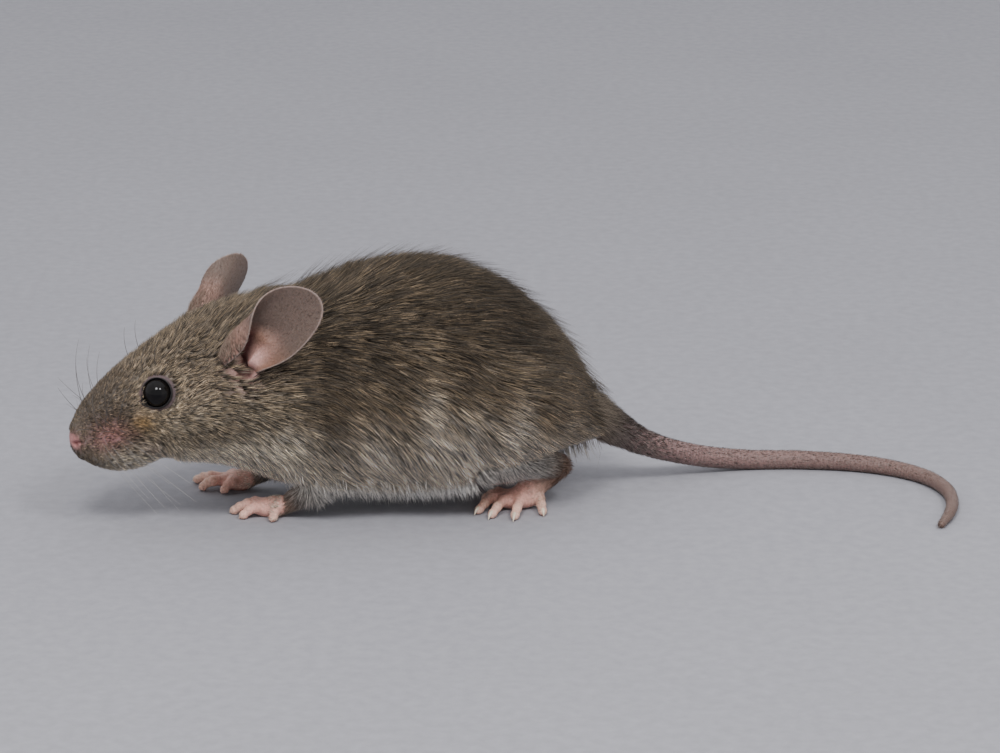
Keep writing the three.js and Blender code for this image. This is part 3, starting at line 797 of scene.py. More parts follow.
def painted(colours, layers):
    """Colours under layers of [colour, share], each one over those before it."""
    for colour, share in layers:
        colours = mixed(colours, colour, share)
    return colours


trunk_lines = curves_through(TRUNK)


def height_share(p):
    """0 at the belly's lowest line and 1 along the ridge of the back."""
    top, bottom, _, _ = trunk_lines(p[:, 0])
    return np.clip((p[:, 2] - bottom) / (top - bottom), 0, 1)


# Marks on the head's right half, each a place and its size in the head's frame.
OCHRE_MARK = [9.0, 5.2, 1.2], [1.5, 2.0, 1.2]
PALE_MARK = [9.3, 4.9, -2.8], [1.6, 2.0, 1.1]
DARK_MARK = [7.6, 4.9, -0.1], [1.0, 1.5, 1.0]
PAD_MARK = [4.4, 4.2, 0.4], [2.6, 2.6, 2.0]
NOSE_MARK = [-0.2, 0.9, 0.1], [1.1, 1.8, 1.1]
EAR_BASE_MARK = [23.2, 9.2, 6.0], [2.4, 3.0, 2.4]
EAR_PINK_MARK = [26.6, 10.0, 5.6], [2.2, 2.4, 2.6]


def markings(p):
    """The coat's colour at points of the head and trunk."""
    q = into_head(p)
    m, (back, _, height) = both_cheeks(q), q.T
    patchy = 0.06 * wander(p, 9, 3)
    up = height_share(p) + patchy + 0.1 * (1 - smooth(p[:, 0], -32, -12))
    body = [
        (LOW_FLANK, smooth(up, 0.02, 0.2)),
        (FLANK, smooth(up, 0.26, 0.6)),
        (BACK, smooth(up, 0.5, 0.85)),
        (FLANK, 0.7 * smooth(p[:, 0], -2, 10)),
        (BACK, 0.6 * hill((back - 31) / 6) * smooth(up, 0.2, 0.5)),
    ]
    head_up = height + 6 * patchy
    head = [
        (CHEEKS, smooth(head_up, -6.5, -1.5)),
        (FACE, smooth(head_up, -1.0, 5.0)),
        (CROWN, smooth(head_up, 5.0, 10.0)),
        (SNOUT, (0.3 + 0.45 * smooth(height, -2.5, 0.5)) * (1 - smooth(back, 5, 12))),
        (OCHRE, 0.6 * spot(m, *OCHRE_MARK)),
        (PALE_SPOT, 0.8 * spot(m, *PALE_MARK)),
        (DARK_SPOT, 0.6 * spot(m, *DARK_MARK)),
        (MUZZLE, 0.55 * spot(m, *PAD_MARK)),
        (PALE_RING, 0.55 * hill((round_eye(m) - 0.9) / 0.5)),
    ]
    return mixed(painted(THROAT, head), painted(BELLY, body), smooth(back, 24, 36))


def bare_markings(p):
    """The skin's colour under the coat: the same markings, with the bare parts of the head, and painted
    shade darkening the nostrils and the ear's canal.
    """
    m = both_cheeks(into_head(p))
    beyond = round_eye(m)
    nostrils = spot(m, NOSTRIL, NOSTRIL_SIZE) + 0.7 * spot(m, NOSTRIL_TAIL, NOSTRIL_TAIL_SIZE)
    bare = [
        (MUZZLE, 0.9 * spot(m, *PAD_MARK)),
        (NOSE, 1.4 * spot(m, *NOSE_MARK)),
        # painted shade, with the skin's red, in the nostrils' openings
        (NOSTRIL_RED_AND_SHADE, nostrils),
        (LID_SKIN, 1 - smooth(beyond, 0.5, 0.8)),
        (LID_RIM, 1 - smooth(beyond, 0.12, 0.3)),
        (CANTHUS, 0.8 * spot(m, EYE_AT + canthus, [0.35, 0.6, 0.35])),
        (EAR_BASE, 0.8 * spot(m, *EAR_BASE_MARK)),
        (EAR_PINK, spot(m, *EAR_PINK_MARK)),
        # painted shade, with the skin's red, along the ear's canal
        (EAR_CANAL_RED_AND_SHADE, 1.6 * hill(beside_canal(m))),
    ]
    return painted(markings(p), bare)


# ---------------------------------------------------------------- the skin


def curve_through(points, count):
    """Rows [x, y, z, radius] spread evenly along a smooth curve through the given ones."""
    points = np.array(points, float)
    reach = np.r_[0, np.cumsum(np.linalg.norm(np.diff(points[:, :3], axis=0), axis=1))]
    at = curves_through(np.c_[reach, points])
    return np.stack(at(np.linspace(0, reach[-1], count)), 1)


def sides_of(centres):
    """Two directions across a curve at each of its points, turning as little as they can."""
    tangent = unit(np.gradient(centres, axis=0))
    side = np.empty_like(tangent)
    last = unit(np.cross(tangent[0], [0, 0, 1.0]))
    for i, t in enumerate(tangent):
        last = unit(last - t * (last @ t))
        side[i] = last
    return side, np.cross(tangent, side)


CAP_BENDS = [75, 50, 25]  # degrees round a tube's end


def tube(rows, sides):
    """A closed tube through rows [x, y, z, radius] with round ends: points and faces."""
    centres, radii = rows[:, :3], rows[:, 3]
    across, other = sides_of(centres)
    tangent = unit(np.gradient(centres, axis=0))
    bend = np.radians(CAP_BENDS)
    caps = [(0, -np.sin(b), np.cos(b)) for b in bend] + [(-1, np.sin(b), np.cos(b)) for b in bend[::-1]]
    rings = [(centres[i] + tangent[i] * radii[i] * s, radii[i] * c, across[i], other[i]) for i, s, c in caps]
    rings[len(bend):len(bend)] = zip(centres, radii, across, other)
    angle = np.arange(sides) * 2 * np.pi / sides
    out = np.stack([np.cos(angle), np.sin(angle)], 1)
    points = np.concatenate([centre + radius * (out @ np.stack([a, b])) for centre, radius, a, b in rings])
    ring, side = np.meshgrid(np.arange(len(rings) - 1), np.arange(sides), indexing="ij")
    a, b = ring * sides + side, ring * sides + (side + 1) % sides
    quads = np.stack([a, b, b + sides, a + sides], -1).reshape(-1, 4)
    last, n = len(points) - sides, np.arange(1, sides - 1)
    ends = [np.stack([0 * n, n + 1, n], 1), np.stack([last + 0 * n, last + n, last + n + 1], 1)]
    return points, np.concatenate([quads[:, [0, 1, 2]], quads[:, [0, 2, 3]], *ends])


def disc(rings, spokes):
    """Faces of a disc of points: its middle one first, then ring after ring."""
    n = np.arange(spokes)
    after = (n + 1) % spokes
    inner = (1 + spokes * np.arange(rings - 1))[:, None]
    a, b = (inner + n).ravel(), (inner + after).ravel()
    hub = np.stack([0 * n, 1 + n, 1 + after], 1)
    return np.concatenate([hub, np.stack([a, a + spokes, b + spokes], 1), np.stack([a, b + spokes, b], 1)])


def nearest_on(points):
    """A finder among points: for each place, the number of the nearest one and how far it is."""
    tree = kdtree.KDTree(len(points))
    for i, point in enumerate(points):
        tree.insert(point, i)
    tree.balance()

    def find(p):
        found = [tree.find(place)[1:] for place in p]
        return np.array([i for i, _ in found]), np.array([gap for _, gap in found])

    return find


tail_rows = curve_through(TAIL, 420) - [0, 0, 0, TAIL_DEPTH]
tail_length = np.linalg.norm(np.diff(tail_rows[:, :3], axis=0), axis=1).sum()


def nearest_on_tail(p):
    """For each point, its nearest row of the tail and the distance to the tail's surface."""
    found = np.empty(len(p), int)
    for start in range(0, len(p), 20000):
        block = p[start : start + 20000]
        found[start : start + 20000] = ((block[:, None] - tail_rows[None, :, :3]) ** 2).sum(2).argmin(1)
    return found, np.linalg.norm(p - tail_rows[found, :3], axis=1) - tail_rows[found, 3]


def normals_of(points, faces):
    """Outward directions at the points of a mesh."""
    corner = points[faces]
    face = np.cross(corner[:, 1] - corner[:, 0], corner[:, 2] - corner[:, 0])
    total = [np.bincount(faces.ravel(), np.repeat(face[:, k], 3), len(points)) for k in range(3)]
    return unit(np.stack(total, 1))


# Ears, in the head's frame: the way each one grows, the way its cup opens, and its length.
EAR_ROOT = [24.3, 8.7, 5.4]
EARS = {
    "left": {"along": [0.53, 0.32, 0.79], "opening": [-0.66, 0.72, 0.1], "length": 18.8},
    "right": {"along": [0.73, 0.51, 0.52], "opening": [-0.68, 0.74, 0.3], "length": 18.8},
}
EAR_LEAN = 1.6  # how far the tip nods forward
EAR_SWEEP = 4.4  # how far the tip bends back
EAR_DIVE = {"depth": 3.0, "to": 0.2}  # how the root sinks into the head, up to a share
EAR_HALF_WIDTH = {"root": 4.4, "blade": 6.2, "blade_from": 0.5}
EAR_CURL = {"root": 3.1, "tip": 12.6}  # radius of curvature across the ear
# The front edge rolls in over the opening as a wall, from one share of the length to another.
EAR_WALL = {"turn": 2.5, "along": (0.3, 1.05), "across": (0.25, 0.9), "flare": 0.5, "drop": 3.0}
EAR_REAR_FOLD = {"turn": 0.5, "along": (0.1, 0.35), "across": (0.3, 1.0)}
EAR_STATIONS = 33  # steps from the ear's middle line out to a point
EAR_THICKNESS = 0.42
EAR_RINGS, EAR_SPOKES = 48, 128
# Ridges and hollows of the ear's inner face: [towards the front, along, their sizes, height].
EAR_RELIEF = [
    [-0.22, -0.62, 0.16, 0.3, 0.9],
    [0.32, -0.72, 0.26, 0.26, -0.7],
    [-0.1, -0.2, 0.34, 0.1, 0.3],
    [-0.45, -0.42, 0.12, 0.3, 0.22],
    [0.1, 0.02, 0.3, 0.12, -0.2],
]


def ear_frame(name):
    """The ear's root and its axes along, opening and across, in the head's frame."""
    mirror = np.array([1, SIDES[name], 1])
    along = unit(np.array(EARS[name]["along"]) * mirror)
    opening = np.array(EARS[name]["opening"]) * mirror
    opening = unit(opening - along * (opening @ along))
    across = np.cross(along, opening)
    return np.array(EAR_ROOT) * mirror, along, opening, -across * np.sign(across[0])


def mound(x, y, front, up, wide, tall):
    """1 at a place on an ear's sheet, fading to 0 at about twice its size."""
    return hill((x - front) / wide) * hill((y - up) / tall)


def ear_relief(x, y):
    height = sum(high * mound(x, y, *at_and_size) for *at_and_size, high in EAR_RELIEF)
    return height * (1 - smooth(np.hypot(x, y), 0.8, 1.0))


def ear_surface(name, x, y, layer):
    """Points of an ear at x towards its front and y along it, from -1 to 1, at a layer's height."""
    root, along, opening, front = ear_frame(name)
    u = (y + 1) / 2
    width = lerp(EAR_HALF_WIDTH["root"], EAR_HALF_WIDTH["blade"], smooth(u, 0, EAR_HALF_WIDTH["blade_from"]))
    width = width * np.where(x > 0, 1 + EAR_WALL["flare"] * np.exp(-(((u - 0.25) / 0.25) ** 2)), 1)
    radius = lerp(EAR_CURL["root"], EAR_CURL["tip"], u)
    reach = np.abs(x) * np.linspace(0, 1, EAR_STATIONS)[:, None]

    def turned(fold):
        return fold["turn"] * (1 - smooth(u, *fold["along"])) * smooth(reach, *fold["across"])

    fold = np.where(x > 0, turned(EAR_WALL), turned(EAR_REAR_FOLD))
    bend = reach * EAR_HALF_WIDTH["blade"] / radius + fold
    stride = np.abs(x) * width / (EAR_STATIONS - 1)
    out, rise = (stride * (way[1:] + way[:-1]).sum(0) / 2 for way in (np.cos(bend), np.sin(bend)))
    beside = np.sign(x) * (out - layer * np.sin(bend[-1])) - EAR_SWEEP * u * u
    forward = EAR_LEAN * u * u + rise + layer * np.cos(bend[-1])
    forward -= EAR_DIVE["depth"] * (1 - smooth(u, 0, EAR_DIVE["to"]))
    up = u * EARS[name]["length"] - EAR_WALL["drop"] * np.maximum(x, 0) * (1 - u)
    return from_head(root + up[:, None] * along + forward[:, None] * opening + beside[:, None] * front)


def ear_shell(name):
    """A closed shell of two sheets that meet at the rim: points, faces, place [x, y] and sheet."""
    turn = np.arange(EAR_SPOKES) * 2 * np.pi / EAR_SPOKES
    reach = np.sin(np.linspace(0, np.pi / 2, EAR_RINGS + 1)[1:])
    x = np.r_[0, (reach[:, None] * np.cos(turn)).ravel()]
    y = np.r_[0, (reach[:, None] * np.sin(turn)).ravel()]
    thick = EAR_THICKNESS / 2 * (1 - np.minimum(np.hypot(x, y), 1) ** 2) ** 0.2
    front = ear_surface(name, x, y, thick + ear_relief(x, y))
    back = ear_surface(name, x, y, ear_relief(x, y) * 0.6 - thick)
    rim = len(x) - EAR_SPOKES
    points = np.concatenate([front, back[:rim]])
    behind = np.r_[np.arange(rim) + len(x), np.arange(rim, len(x))]
    sheet = disc(EAR_RINGS, EAR_SPOKES)
    faces = np.concatenate([sheet, behind[sheet][:, ::-1]])
    volume = dot(points[faces[:, 0]], np.cross(points[faces[:, 1]], points[faces[:, 2]])).sum()
    place = np.stack([np.r_[x, x[:rim]], np.r_[y, y[:rim]]], 1)
    inside = np.r_[np.ones(len(x)), np.zeros(rim)]
    return points, faces if volume > 0 else faces[:, ::-1], place, inside


# The body's mesh: the box that holds it, its cell, and where on the head it is halved again.
BODY_LOW, BODY_HIGH, BODY_CELL = [-68, -28, 0.5], [20, 24, 40], 0.75
FINER_AHEAD_OF = [30, 17]  # back from the nose tip
FINE_ROUND_EYE, FINE_AHEAD_OF = 4, 3.2
FACE_END = 32
LIMB_CELL = 0.25
LIMB_ROOM = {"above": 5, "round": 9}  # room about a leg's joints and its palm


def body_mesh():
    """Head, neck and trunk, finer on the head and finest round the eyes, nose and mouth."""
    points, faces = surface_net(body_skin, BODY_LOW, BODY_HIGH, BODY_CELL)

    def halved(chosen):
        finer, parts = refine(points, faces, chosen[faces].any(1))
        return settle(body_skin, finer, 1), parts

    for reach in FINER_AHEAD_OF:
        points, faces = halved((into_head(points)[:, 0] < reach) & (points[:, 0] < -34))
    m = both_cheeks(into_head(points))
    points, faces = halved((np.linalg.norm(m - EYE_AT, axis=1) < FINE_ROUND_EYE) | (m[:, 0] < FINE_AHEAD_OF))
    q = into_head(points)
    face = q[:, 0] < FACE_END
    points[face] += normals_of(points, faces)[face] * face_relief(q[face])[:, None]
    return points, faces


def limb_mesh(name):
    joints, palm = np.array(LIMBS[name])[:, :3], np.array(PAWS[name]["palm"])
    low = np.minimum(joints.min(0) - LIMB_ROOM["above"], palm - LIMB_ROOM["round"])
    high = np.maximum(joints.max(0) + LIMB_ROOM["above"], palm + LIMB_ROOM["round"])
    return surface_net(limb_skin(name), [*low[:2], -1], high, LIMB_CELL)


def keep_above(height, p):
    """Lifts the places that are lower than a height up to it."""
    p[..., 2] = np.maximum(p[..., 2], height)


def on_floor(shell):
    """The same shell with nothing below the floor."""
    points, faces = shell
    keep_above(FLOOR, points)
    return points, faces


def united(shells):
    """One closed mesh of several closed ones, as a Blender mesh."""
    objects = []
    for i, (points, faces) in enumerate(shells):
        ob = bpy.data.objects.new(f"shell{i}", mesh_from(f"shell{i}", points, faces))
        bpy.context.scene.collection.objects.link(ob)
        objects.append(ob)
    whole = objects[0]
    for other in objects[1:]:
        union = whole.modifiers.new("union", "BOOLEAN")
        union.operation = "UNION"
        union.solver = "MANIFOLD"
        union.object = other
    evaluated = whole.evaluated_get(bpy.context.evaluated_depsgraph_get())
    made = bpy.data.meshes.new_from_object(evaluated)
    made.materials.clear()
    for ob in objects:
        bpy.data.objects.remove(ob)
    return made


body_points, body_faces = body_mesh()
limb_shells = {name: on_floor(limb_mesh(name)) for name in LIMBS}
tail_points, tail_faces = on_floor(tube(tail_rows, 26))
ear_shells = {name: ear_shell(name) for name in SIDES}
shells = [(body_points, body_faces), *limb_shells.values(), (tail_points, tail_faces)]
skin_mesh = united(shells + [ear_shells[name][:2] for name in SIDES])


def points_of(mesh):
    flat = np.empty(len(mesh.vertices) * 3, np.float32)
    mesh.vertices.foreach_get("co", flat)
    return (flat.reshape(-1, 3) - SHIFT) / MM


def limb_share(name, p):
    """How far down a leg points lie, from 0 at the body by 1 at the wrist or hock to 2 at the
    palm, and the way down it there."""
    joints = np.array(LIMBS[name])[:, :3]
    line = np.concatenate([joints, [np.array(PAWS[name]["palm"])]])
    share = np.array([0, 0.5, 1.0, 2.0])
    steps = np.linspace(0, 1, 9)
    fine = np.concatenate([lerp(a, b, steps[:, None]) for a, b in zip(line, line[1:])])
    value = np.concatenate([lerp(a, b, steps) for a, b in zip(share, share[1:])])
    way = unit(np.gradient(fine, axis=0))
    nearest = ((p[:, None] - fine[None]) ** 2).sum(2).argmin(1)
    return value[nearest], way[nearest]


def bareness(name, share):
    """0 where a leg is furred and 1 where it is bare, by how far down it a point lies."""
    return smooth(share, *BARE_FROM[name.split("_")[0]])


def from_palm(name, p):
    return np.linalg.norm(p[:, :2] - np.array(PAWS[name]["palm"])[:2], axis=1)


def limb_colours(name, p):
    """The body's colour down to the wrist or hock, then pink, paler on the digits."""
    share, _ = limb_share(name, p)
    paw = mixed(PINK, DIGIT_ENDS, smooth(from_palm(name, p), 2.5, 5))
    return mixed(mixed(LOW_FLANK, SHANK, smooth(share, 0.3, 0.9)), paw, bareness(name, share))


def ear_colours(place, inside):
    """Colours of an ear at places [front, along] of its sheet, on its inner or outer face, with painted
    shade in the hollow under its rolled front wall.
    """
    x, y = place.T
    inner = [
        (EAR_SKIN, smooth(y, -0.6, 0.1)),
        (EAR_PINK, 1.2 * mound(x, y, -0.25, -0.68, 0.28, 0.42)),
        (EAR_ORANGE, 0.8 * mound(x, y, 0.05, -0.22, 0.5, 0.14)),
        # painted shade, with the skin's red, in the hollow under the rolled front wall
        (EAR_CANAL_RED_AND_SHADE, 1.2 * smooth(x - 0.3 * (y + 0.6), -0.08, 0.1) * (1 - smooth(y, -0.4, 0.15))),
    ]
    wall = smooth(x, 0.1, 0.6)
    outer = [
        (EAR_SKIN, smooth(y - 0.25 * wall, -0.6, 0.1)),
        (EAR_ORANGE, 0.6 * wall * (1 - smooth(y, -0.3, 0.4))),
    ]
    both = mixed(painted(EAR_BASE, outer), painted(EAR_ORANGE, inner), inside)
    return mixed(both, EAR_RIM, smooth(np.hypot(x, y), 0.965, 0.995))


ON_LIMB, ON_TAIL, ON_EAR = 0.06, 0.1, 0.02  # how near a point of the skin lies to the part it is on


def colour_skin(mesh):
    """Sets the tint and the count of folds at each point of the whole skin."""
    p = points_of(mesh)
    tints, folds = bare_markings(p), np.zeros(len(p))
    for name, (points, _) in limb_shells.items():
        near = np.flatnonzero(((p > points.min(0) - 0.1) & (p < points.max(0) + 0.1)).all(1))
        on_limb = near[limb_skin(name)(p[near]) < ON_LIMB]
        tints[on_limb] = limb_colours(name, p[on_limb])
        folds[on_limb] = np.maximum(from_palm(name, p[on_limb]) - 2, 0) / DIGIT_RING
    behind = np.flatnonzero(p[:, 0] > 9)
    row, off = nearest_on_tail(p[behind])
    on_tail, row = behind[off < ON_TAIL], row[off < ON_TAIL]
    tints[on_tail] = painted(FLANK, [(TAIL_SKIN, smooth(row, 0, 30)), (TAIL_TIP, row / len(tail_rows))])
    folds[on_tail] = row * tail_length / len(tail_rows) / TAIL_RING
    for points, _, place, inside in ear_shells.values():
        near = np.flatnonzero((np.linalg.norm(p - points.mean(0), axis=1) < 14))
        which, gap = nearest_on(points)(p[near])
        on_ear = gap < ON_EAR
        tints[near[on_ear]] = ear_colours(place[which], inside[which])[on_ear]
    set_tint(mesh, tints)
    set_number(mesh, "folds", folds)


FLESH = ["head", "neck", "chest", "belly", "rump", "ear_left", "ear_right"]
FLESH += ["tail_1", "tail_2", "tail_3", "tail_4", *LIMBS, *PAW_NODES.values()]
colour_skin(skin_mesh)
add_piece("skin", skin_mesh, SKIN, FLESH)

# ---------------------------------------------------------------- the coat

# A hair is a three-sided spike, either bent, with a root, a middle and a point, or straight.
HAIR_CORNERS = np.radians([90, 210, 330])
HAIR_CAP = [[0, 2, 1]]
HAIR_STEM = [[0, 1, 4], [0, 4, 3], [1, 2, 5], [1, 5, 4], [2, 0, 3], [2, 3, 5]]
BENT_FACES = np.array([*HAIR_CAP, *HAIR_STEM, [3, 4, 6], [4, 5, 6], [5, 3, 6]])
STRAIGHT_FACES = np.array([*HAIR_CAP, [0, 1, 3], [1, 2, 3], [2, 0, 3]])
HAIR_FLATNESS = 0.45  # thickness as a share of the width
HAIR_MIDDLE = 0.8  # the middle's width as a share of the root's
ROOT_SINK = 0.25  # how deep each hair is rooted
OFF_FLOOR = 0.02
LOWEST = {"lock": (0.5, 0.25), "lone hair": (0.15, 0.1), "fringe": (0.4, 0.15)}  # middle, tip
PATCH = 0.003  # size of each hair's patch on the map

# Colours of a hair's root and tip, as shares of the coat's colour there.
ROOT_SHADE, MIDDLE_SHADE, PLAIN_TIP, DARK_TIP = 0.32, 0.8, 1.3, 0.2
BUFF_TIP = np.array([3.0, 2.75, 2.3])
BUFF_HAIRS, DARK_HAIRS = 0.32, 0.3  # their shares of the coat
HAIR_CONTRAST = 0.16  # how much the hairs of a lock differ in shade
TAIL_ROOT = np.array([17.5, 5.6, 10.2])  # where the hairs of the rump lead to
BELLY_TUCK = {"below": 0.45, "belly": 0.8, "thigh": 1.4}  # below a share of the height, so deep
DEEPEST = 2.05  # under the outline, for a hair's tip
HEAD_LOCKS, TRUNK_LOCKS = 16000, 18500
GUARD_HAIRS, FRINGE_HAIRS, LIMB_HAIRS, TAIL_HAIRS, EAR_HAIRS = 2600, 5200, 8500, 17000, 15000


def on_head_rows(*rows):
    """A size that changes along the head: rows of [back from the nose tip, size]."""
    return lambda p: row_size(rows)(into_head(p)[:, 0])


# How each coat grows: hairs in a lock, their length and width, the lock's spread, the lift of its
# tips, how far they gather, how deep they end as shares of the coat's depth, and how much the
# locks differ in shade.
HEAD_COAT_KIND = {
    "hairs": 6,
    "length": on_head_rows([1, 0.6], [6, 0.95], [12, 1.35], [22, 2.1], [34, 3.6]),
    "width": on_head_rows([1, 0.1], [10, 0.13], [30, 0.18]),
    "spread": on_head_rows([1, 0.15], [10, 0.28], [30, 0.45]),
    "lift": on_head_rows([0, 0.2], [6, 0.24], [20, 0.16], [30, 0]),
    "gather": 0.5,
    "under": (-0.15, 0.5),
    "contrast": 0.34,
}
TRUNK_COAT_KIND = {
    "hairs": 12,
    "length": lambda p: 4.6 - 1.2 * smooth(p[:, 0], 4, 16),
    "width": lambda p: np.full(len(p), 0.21),
    "spread": lambda p: np.full(len(p), 0.5),
    "lift": lambda p: np.zeros(len(p)),
    "gather": 0.72,
    "under": (-0.1, 0.7),
    "contrast": 0.42,
}


class Hairs(NamedTuple):
    """Places along each hair, with its width, the skin's outward way and its colours."""

    root: np.ndarray
    middle: np.ndarray
    tip: np.ndarray
    width: np.ndarray
    normal: np.ndarray
    tints: np.ndarray  # at root, middle and tip

    def some(self, which):
        return Hairs(*(values[which] for values in self))


def hair_mesh(name, hairs, place, bent=True):
    """Hairs as one mesh, each with its own patch on the map at its root's place."""
    way = unit(hairs.tip - hairs.root)
    across = unit(np.cross(way, hairs.normal))
    up = HAIR_FLATNESS * np.cross(across, way)
    ring = [np.cos(angle) * across + np.sin(angle) * up for angle in HAIR_CORNERS]
    ring = np.stack(ring, 1) * hairs.width[:, None, None] / 2
    spread = np.cos(HAIR_CORNERS) / 2
    rows = [(hairs.root[:, None] + ring, 0, spread, -0.5)]
    if bent:
        rows.append((hairs.middle[:, None] + ring * HAIR_MIDDLE, 1, spread * HAIR_MIDDLE, 0.0))
    rows.append((hairs.tip[:, None], 2, np.zeros(1), 0.5))

    points = np.concatenate([row[0] for row in rows], 1)
    keep_above(FLOOR + OFF_FLOOR, points)
    each = points.shape[1]
    tints = np.repeat(hairs.tints[:, [row[1] for row in rows]], [row[0].shape[1] for row in rows], axis=1)
    patch = np.concatenate([np.stack([row[2], np.full(len(row[2]), row[3])], 1) for row in rows]) * PATCH
    own = BENT_FACES if bent else STRAIGHT_FACES
    faces = (own[None] + each * np.arange(len(points))[:, None, None]).reshape(-1, 3)
    mesh = mesh_from(name, points.reshape(-1, 3), faces)
    set_tint(mesh, tints.reshape(-1, 3))
    low, high = place.min(0), place.max(0)
    centre = 0.01 + 0.98 * (place - low) / np.maximum(high - low, 1e-6)
    uv = (centre[:, None] + patch).reshape(-1, 2)
    layer = mesh.uv_layers.new(name="OFBake")
    layer.uv.foreach_set("vector", uv[faces.ravel()].astype(np.float32).ravel())
    return mesh


def add_coat(name, hairs, place_of, pieces=1, bent=True):
    """Adds hairs as so many pieces, one behind the other along the body."""
    order = np.argsort(hairs.root[:, 0], kind="stable")
    for i, which in enumerate(np.array_split(order, pieces)):
        label = f"{name}_{i + 1}" if pieces > 1 else name
        part = hairs.some(which)
        add_piece(label, hair_mesh(label, part, place_of(part.root), bent), COAT)


def everywhere(p):
    return np.ones(len(p), bool)


def scatter(points, faces, density, count, kept=everywhere):
    """Random roots on a mesh, as many per area as the density says: places and outward ways of
    those that are kept."""
    corner = points[faces]
    area = np.linalg.norm(np.cross(corner[:, 1] - corner[:, 0], corner[:, 2] - corner[:, 0]), axis=1)
    chance = np.cumsum(area * density(corner.mean(1)))
    face = np.searchsorted(chance, random.uniform(0, chance[-1], count))
    a, b = random.uniform(size=(2, count, 1))
    a, b = np.where(a + b > 1, 1 - a, a), np.where(a + b > 1, 1 - b, b)
    normal = normals_of(points, faces)

    def pick(values):
        first, second, third = values[:, 0], values[:, 1], values[:, 2]
        return first + a * (second - first) + b * (third - first)

    root, normal = pick(corner[face]), unit(pick(normal[faces[face]]))
    which = kept(root)
    return root[which], normal[which]


CHEEK_DROP = 0.35  # how far the coat sweeps down on the cheek, per length
FLANK_DROP = [0.15, 1.0]  # the same on the back, and what the flank adds
SWIRLS = [(0.2, 8, 11), (0.14, 2.6, 12)]  # how strong, how long, and the seed
SWAY = {"lock": 0.13, "lone hair": 0.16}  # of single hairs to either side


def flat_on(way, normal):
    """Ways laid into the surface."""
    return unit(way - normal * dot(way, normal))


def lie_of_coat(p, normal):
    """The way the coat lies on the body: back from the nose, and down the flanks to the tail."""
    q = into_head(p)
    up = height_share(p)
    cheek_drop = CHEEK_DROP * (1 - smooth(q[:, 2], -2, 5)) * smooth(q[:, 0], 6, 16)
    on_head = HEAD_TURN[:, 0] - cheek_drop[:, None] * HEAD_TURN[:, 2]
    drop = FLANK_DROP[0] + FLANK_DROP[1] * (1 - smooth(up, 0.1, 0.95))
    on_trunk = np.stack([np.ones(len(p)), np.full(len(p), 0.12), -drop], 1)
    on_trunk = unit(lerp(unit(on_trunk), unit(TAIL_ROOT - p), 0.8 * smooth(p[:, 0], 0, 13)[:, None]))
    way = flat_on(lerp(on_head, on_trunk, smooth(q[:, 0], 22, 40)[:, None]), normal)
    side = np.cross(normal, way)
    swirl = sum(strong * wander(p, wavelength, seed) for strong, wavelength, seed in SWIRLS)
    return unit(way + side * swirl[:, None])


def tones(tint, lock_shade):
    """Colours down each hair: a dark root, its own shade, and a buff, dark or plain tip."""
    count = len(tint)
    shade = (lock_shade * np.exp(random.normal(0, HAIR_CONTRAST, count)))[:, None]
    draw = random.uniform(size=count)[:, None]
    dark = draw > 1 - DARK_HAIRS
    tip = np.where(draw < BUFF_HAIRS, tint * BUFF_TIP, np.where(dark, tint * DARK_TIP, tint * PLAIN_TIP))
    middle = np.where(dark, tint * DARK_TIP, tint * MIDDLE_SHADE)
    return np.stack([tint * ROOT_SHADE * shade, middle * shade, tip * shade], 1)


def down_hair(tint, *shares):
    """Colours at each hair's root, middle and tip, as shares of its own."""
    return tint[:, None] * np.array(shares)[:, None]


def tuck(p):
    """How much flatter the coat lies under the belly, and most where the thigh meets it."""
    low = 1 - smooth(height_share(p), BELLY_TUCK["below"] / 4, BELLY_TUCK["below"])
    depth = BELLY_TUCK["belly"] + BELLY_TUCK["thigh"] * smooth(p[:, 0], -14, -4)
    return depth * low * smooth(p[:, 0], -36, -26)


def locks_on_body(root, normal, coat):
    """Locks of hairs over the body, whose points reach its outline, for one kind of coat."""
    way, length, spread = lie_of_coat(root, normal), coat["length"](root), coat["spread"](root)
    lock = np.repeat(np.arange(len(root)), coat["hairs"])
    count = len(lock)
    n, w = normal[lock], way[lock]
    side = np.cross(n, w)
    reach = np.sqrt(random.uniform(size=count)) * spread[lock]
    turn = random.uniform(0, 2 * np.pi, count)
    start = root[lock] + (reach * np.cos(turn))[:, None] * w + (reach * np.sin(turn))[:, None] * side

    own_length = length[lock] * random.uniform(0.75, 1.2, count)
    own = start + own_length[:, None] * unit(w + random.normal(0, SWAY["lock"], count)[:, None] * side)
    shared = root[lock] + length[lock][:, None] * w
    gathered = shared + (own - shared) * random.uniform(0.1, 0.6, count)[:, None]
    tip = lerp(own, gathered, coat["gather"])
    middle = lerp(start, tip, 0.5)
    depth, (low, high) = coat_depth(start), coat["under"]
    sink = np.minimum(depth * random.uniform(low, high, count) + tuck(start), DEEPEST)
    tip += n * (coat["lift"](start) - sink - body_outline(tip))[:, None]
    middle += n * (-depth * random.uniform(0.3, 0.6, count) - body_outline(middle))[:, None]
    keep_above(LOWEST["lock"][0], middle)
    keep_above(LOWEST["lock"][1], tip)
    width = coat["width"](start) * random.uniform(0.7, 1.25, count)
    lock_shade = np.exp(random.normal(0, coat["contrast"], len(root)))[lock]
    tints = tones(markings(start), lock_shade)
    return Hairs(start - n * ROOT_SINK, middle, tip, width, n, tints)


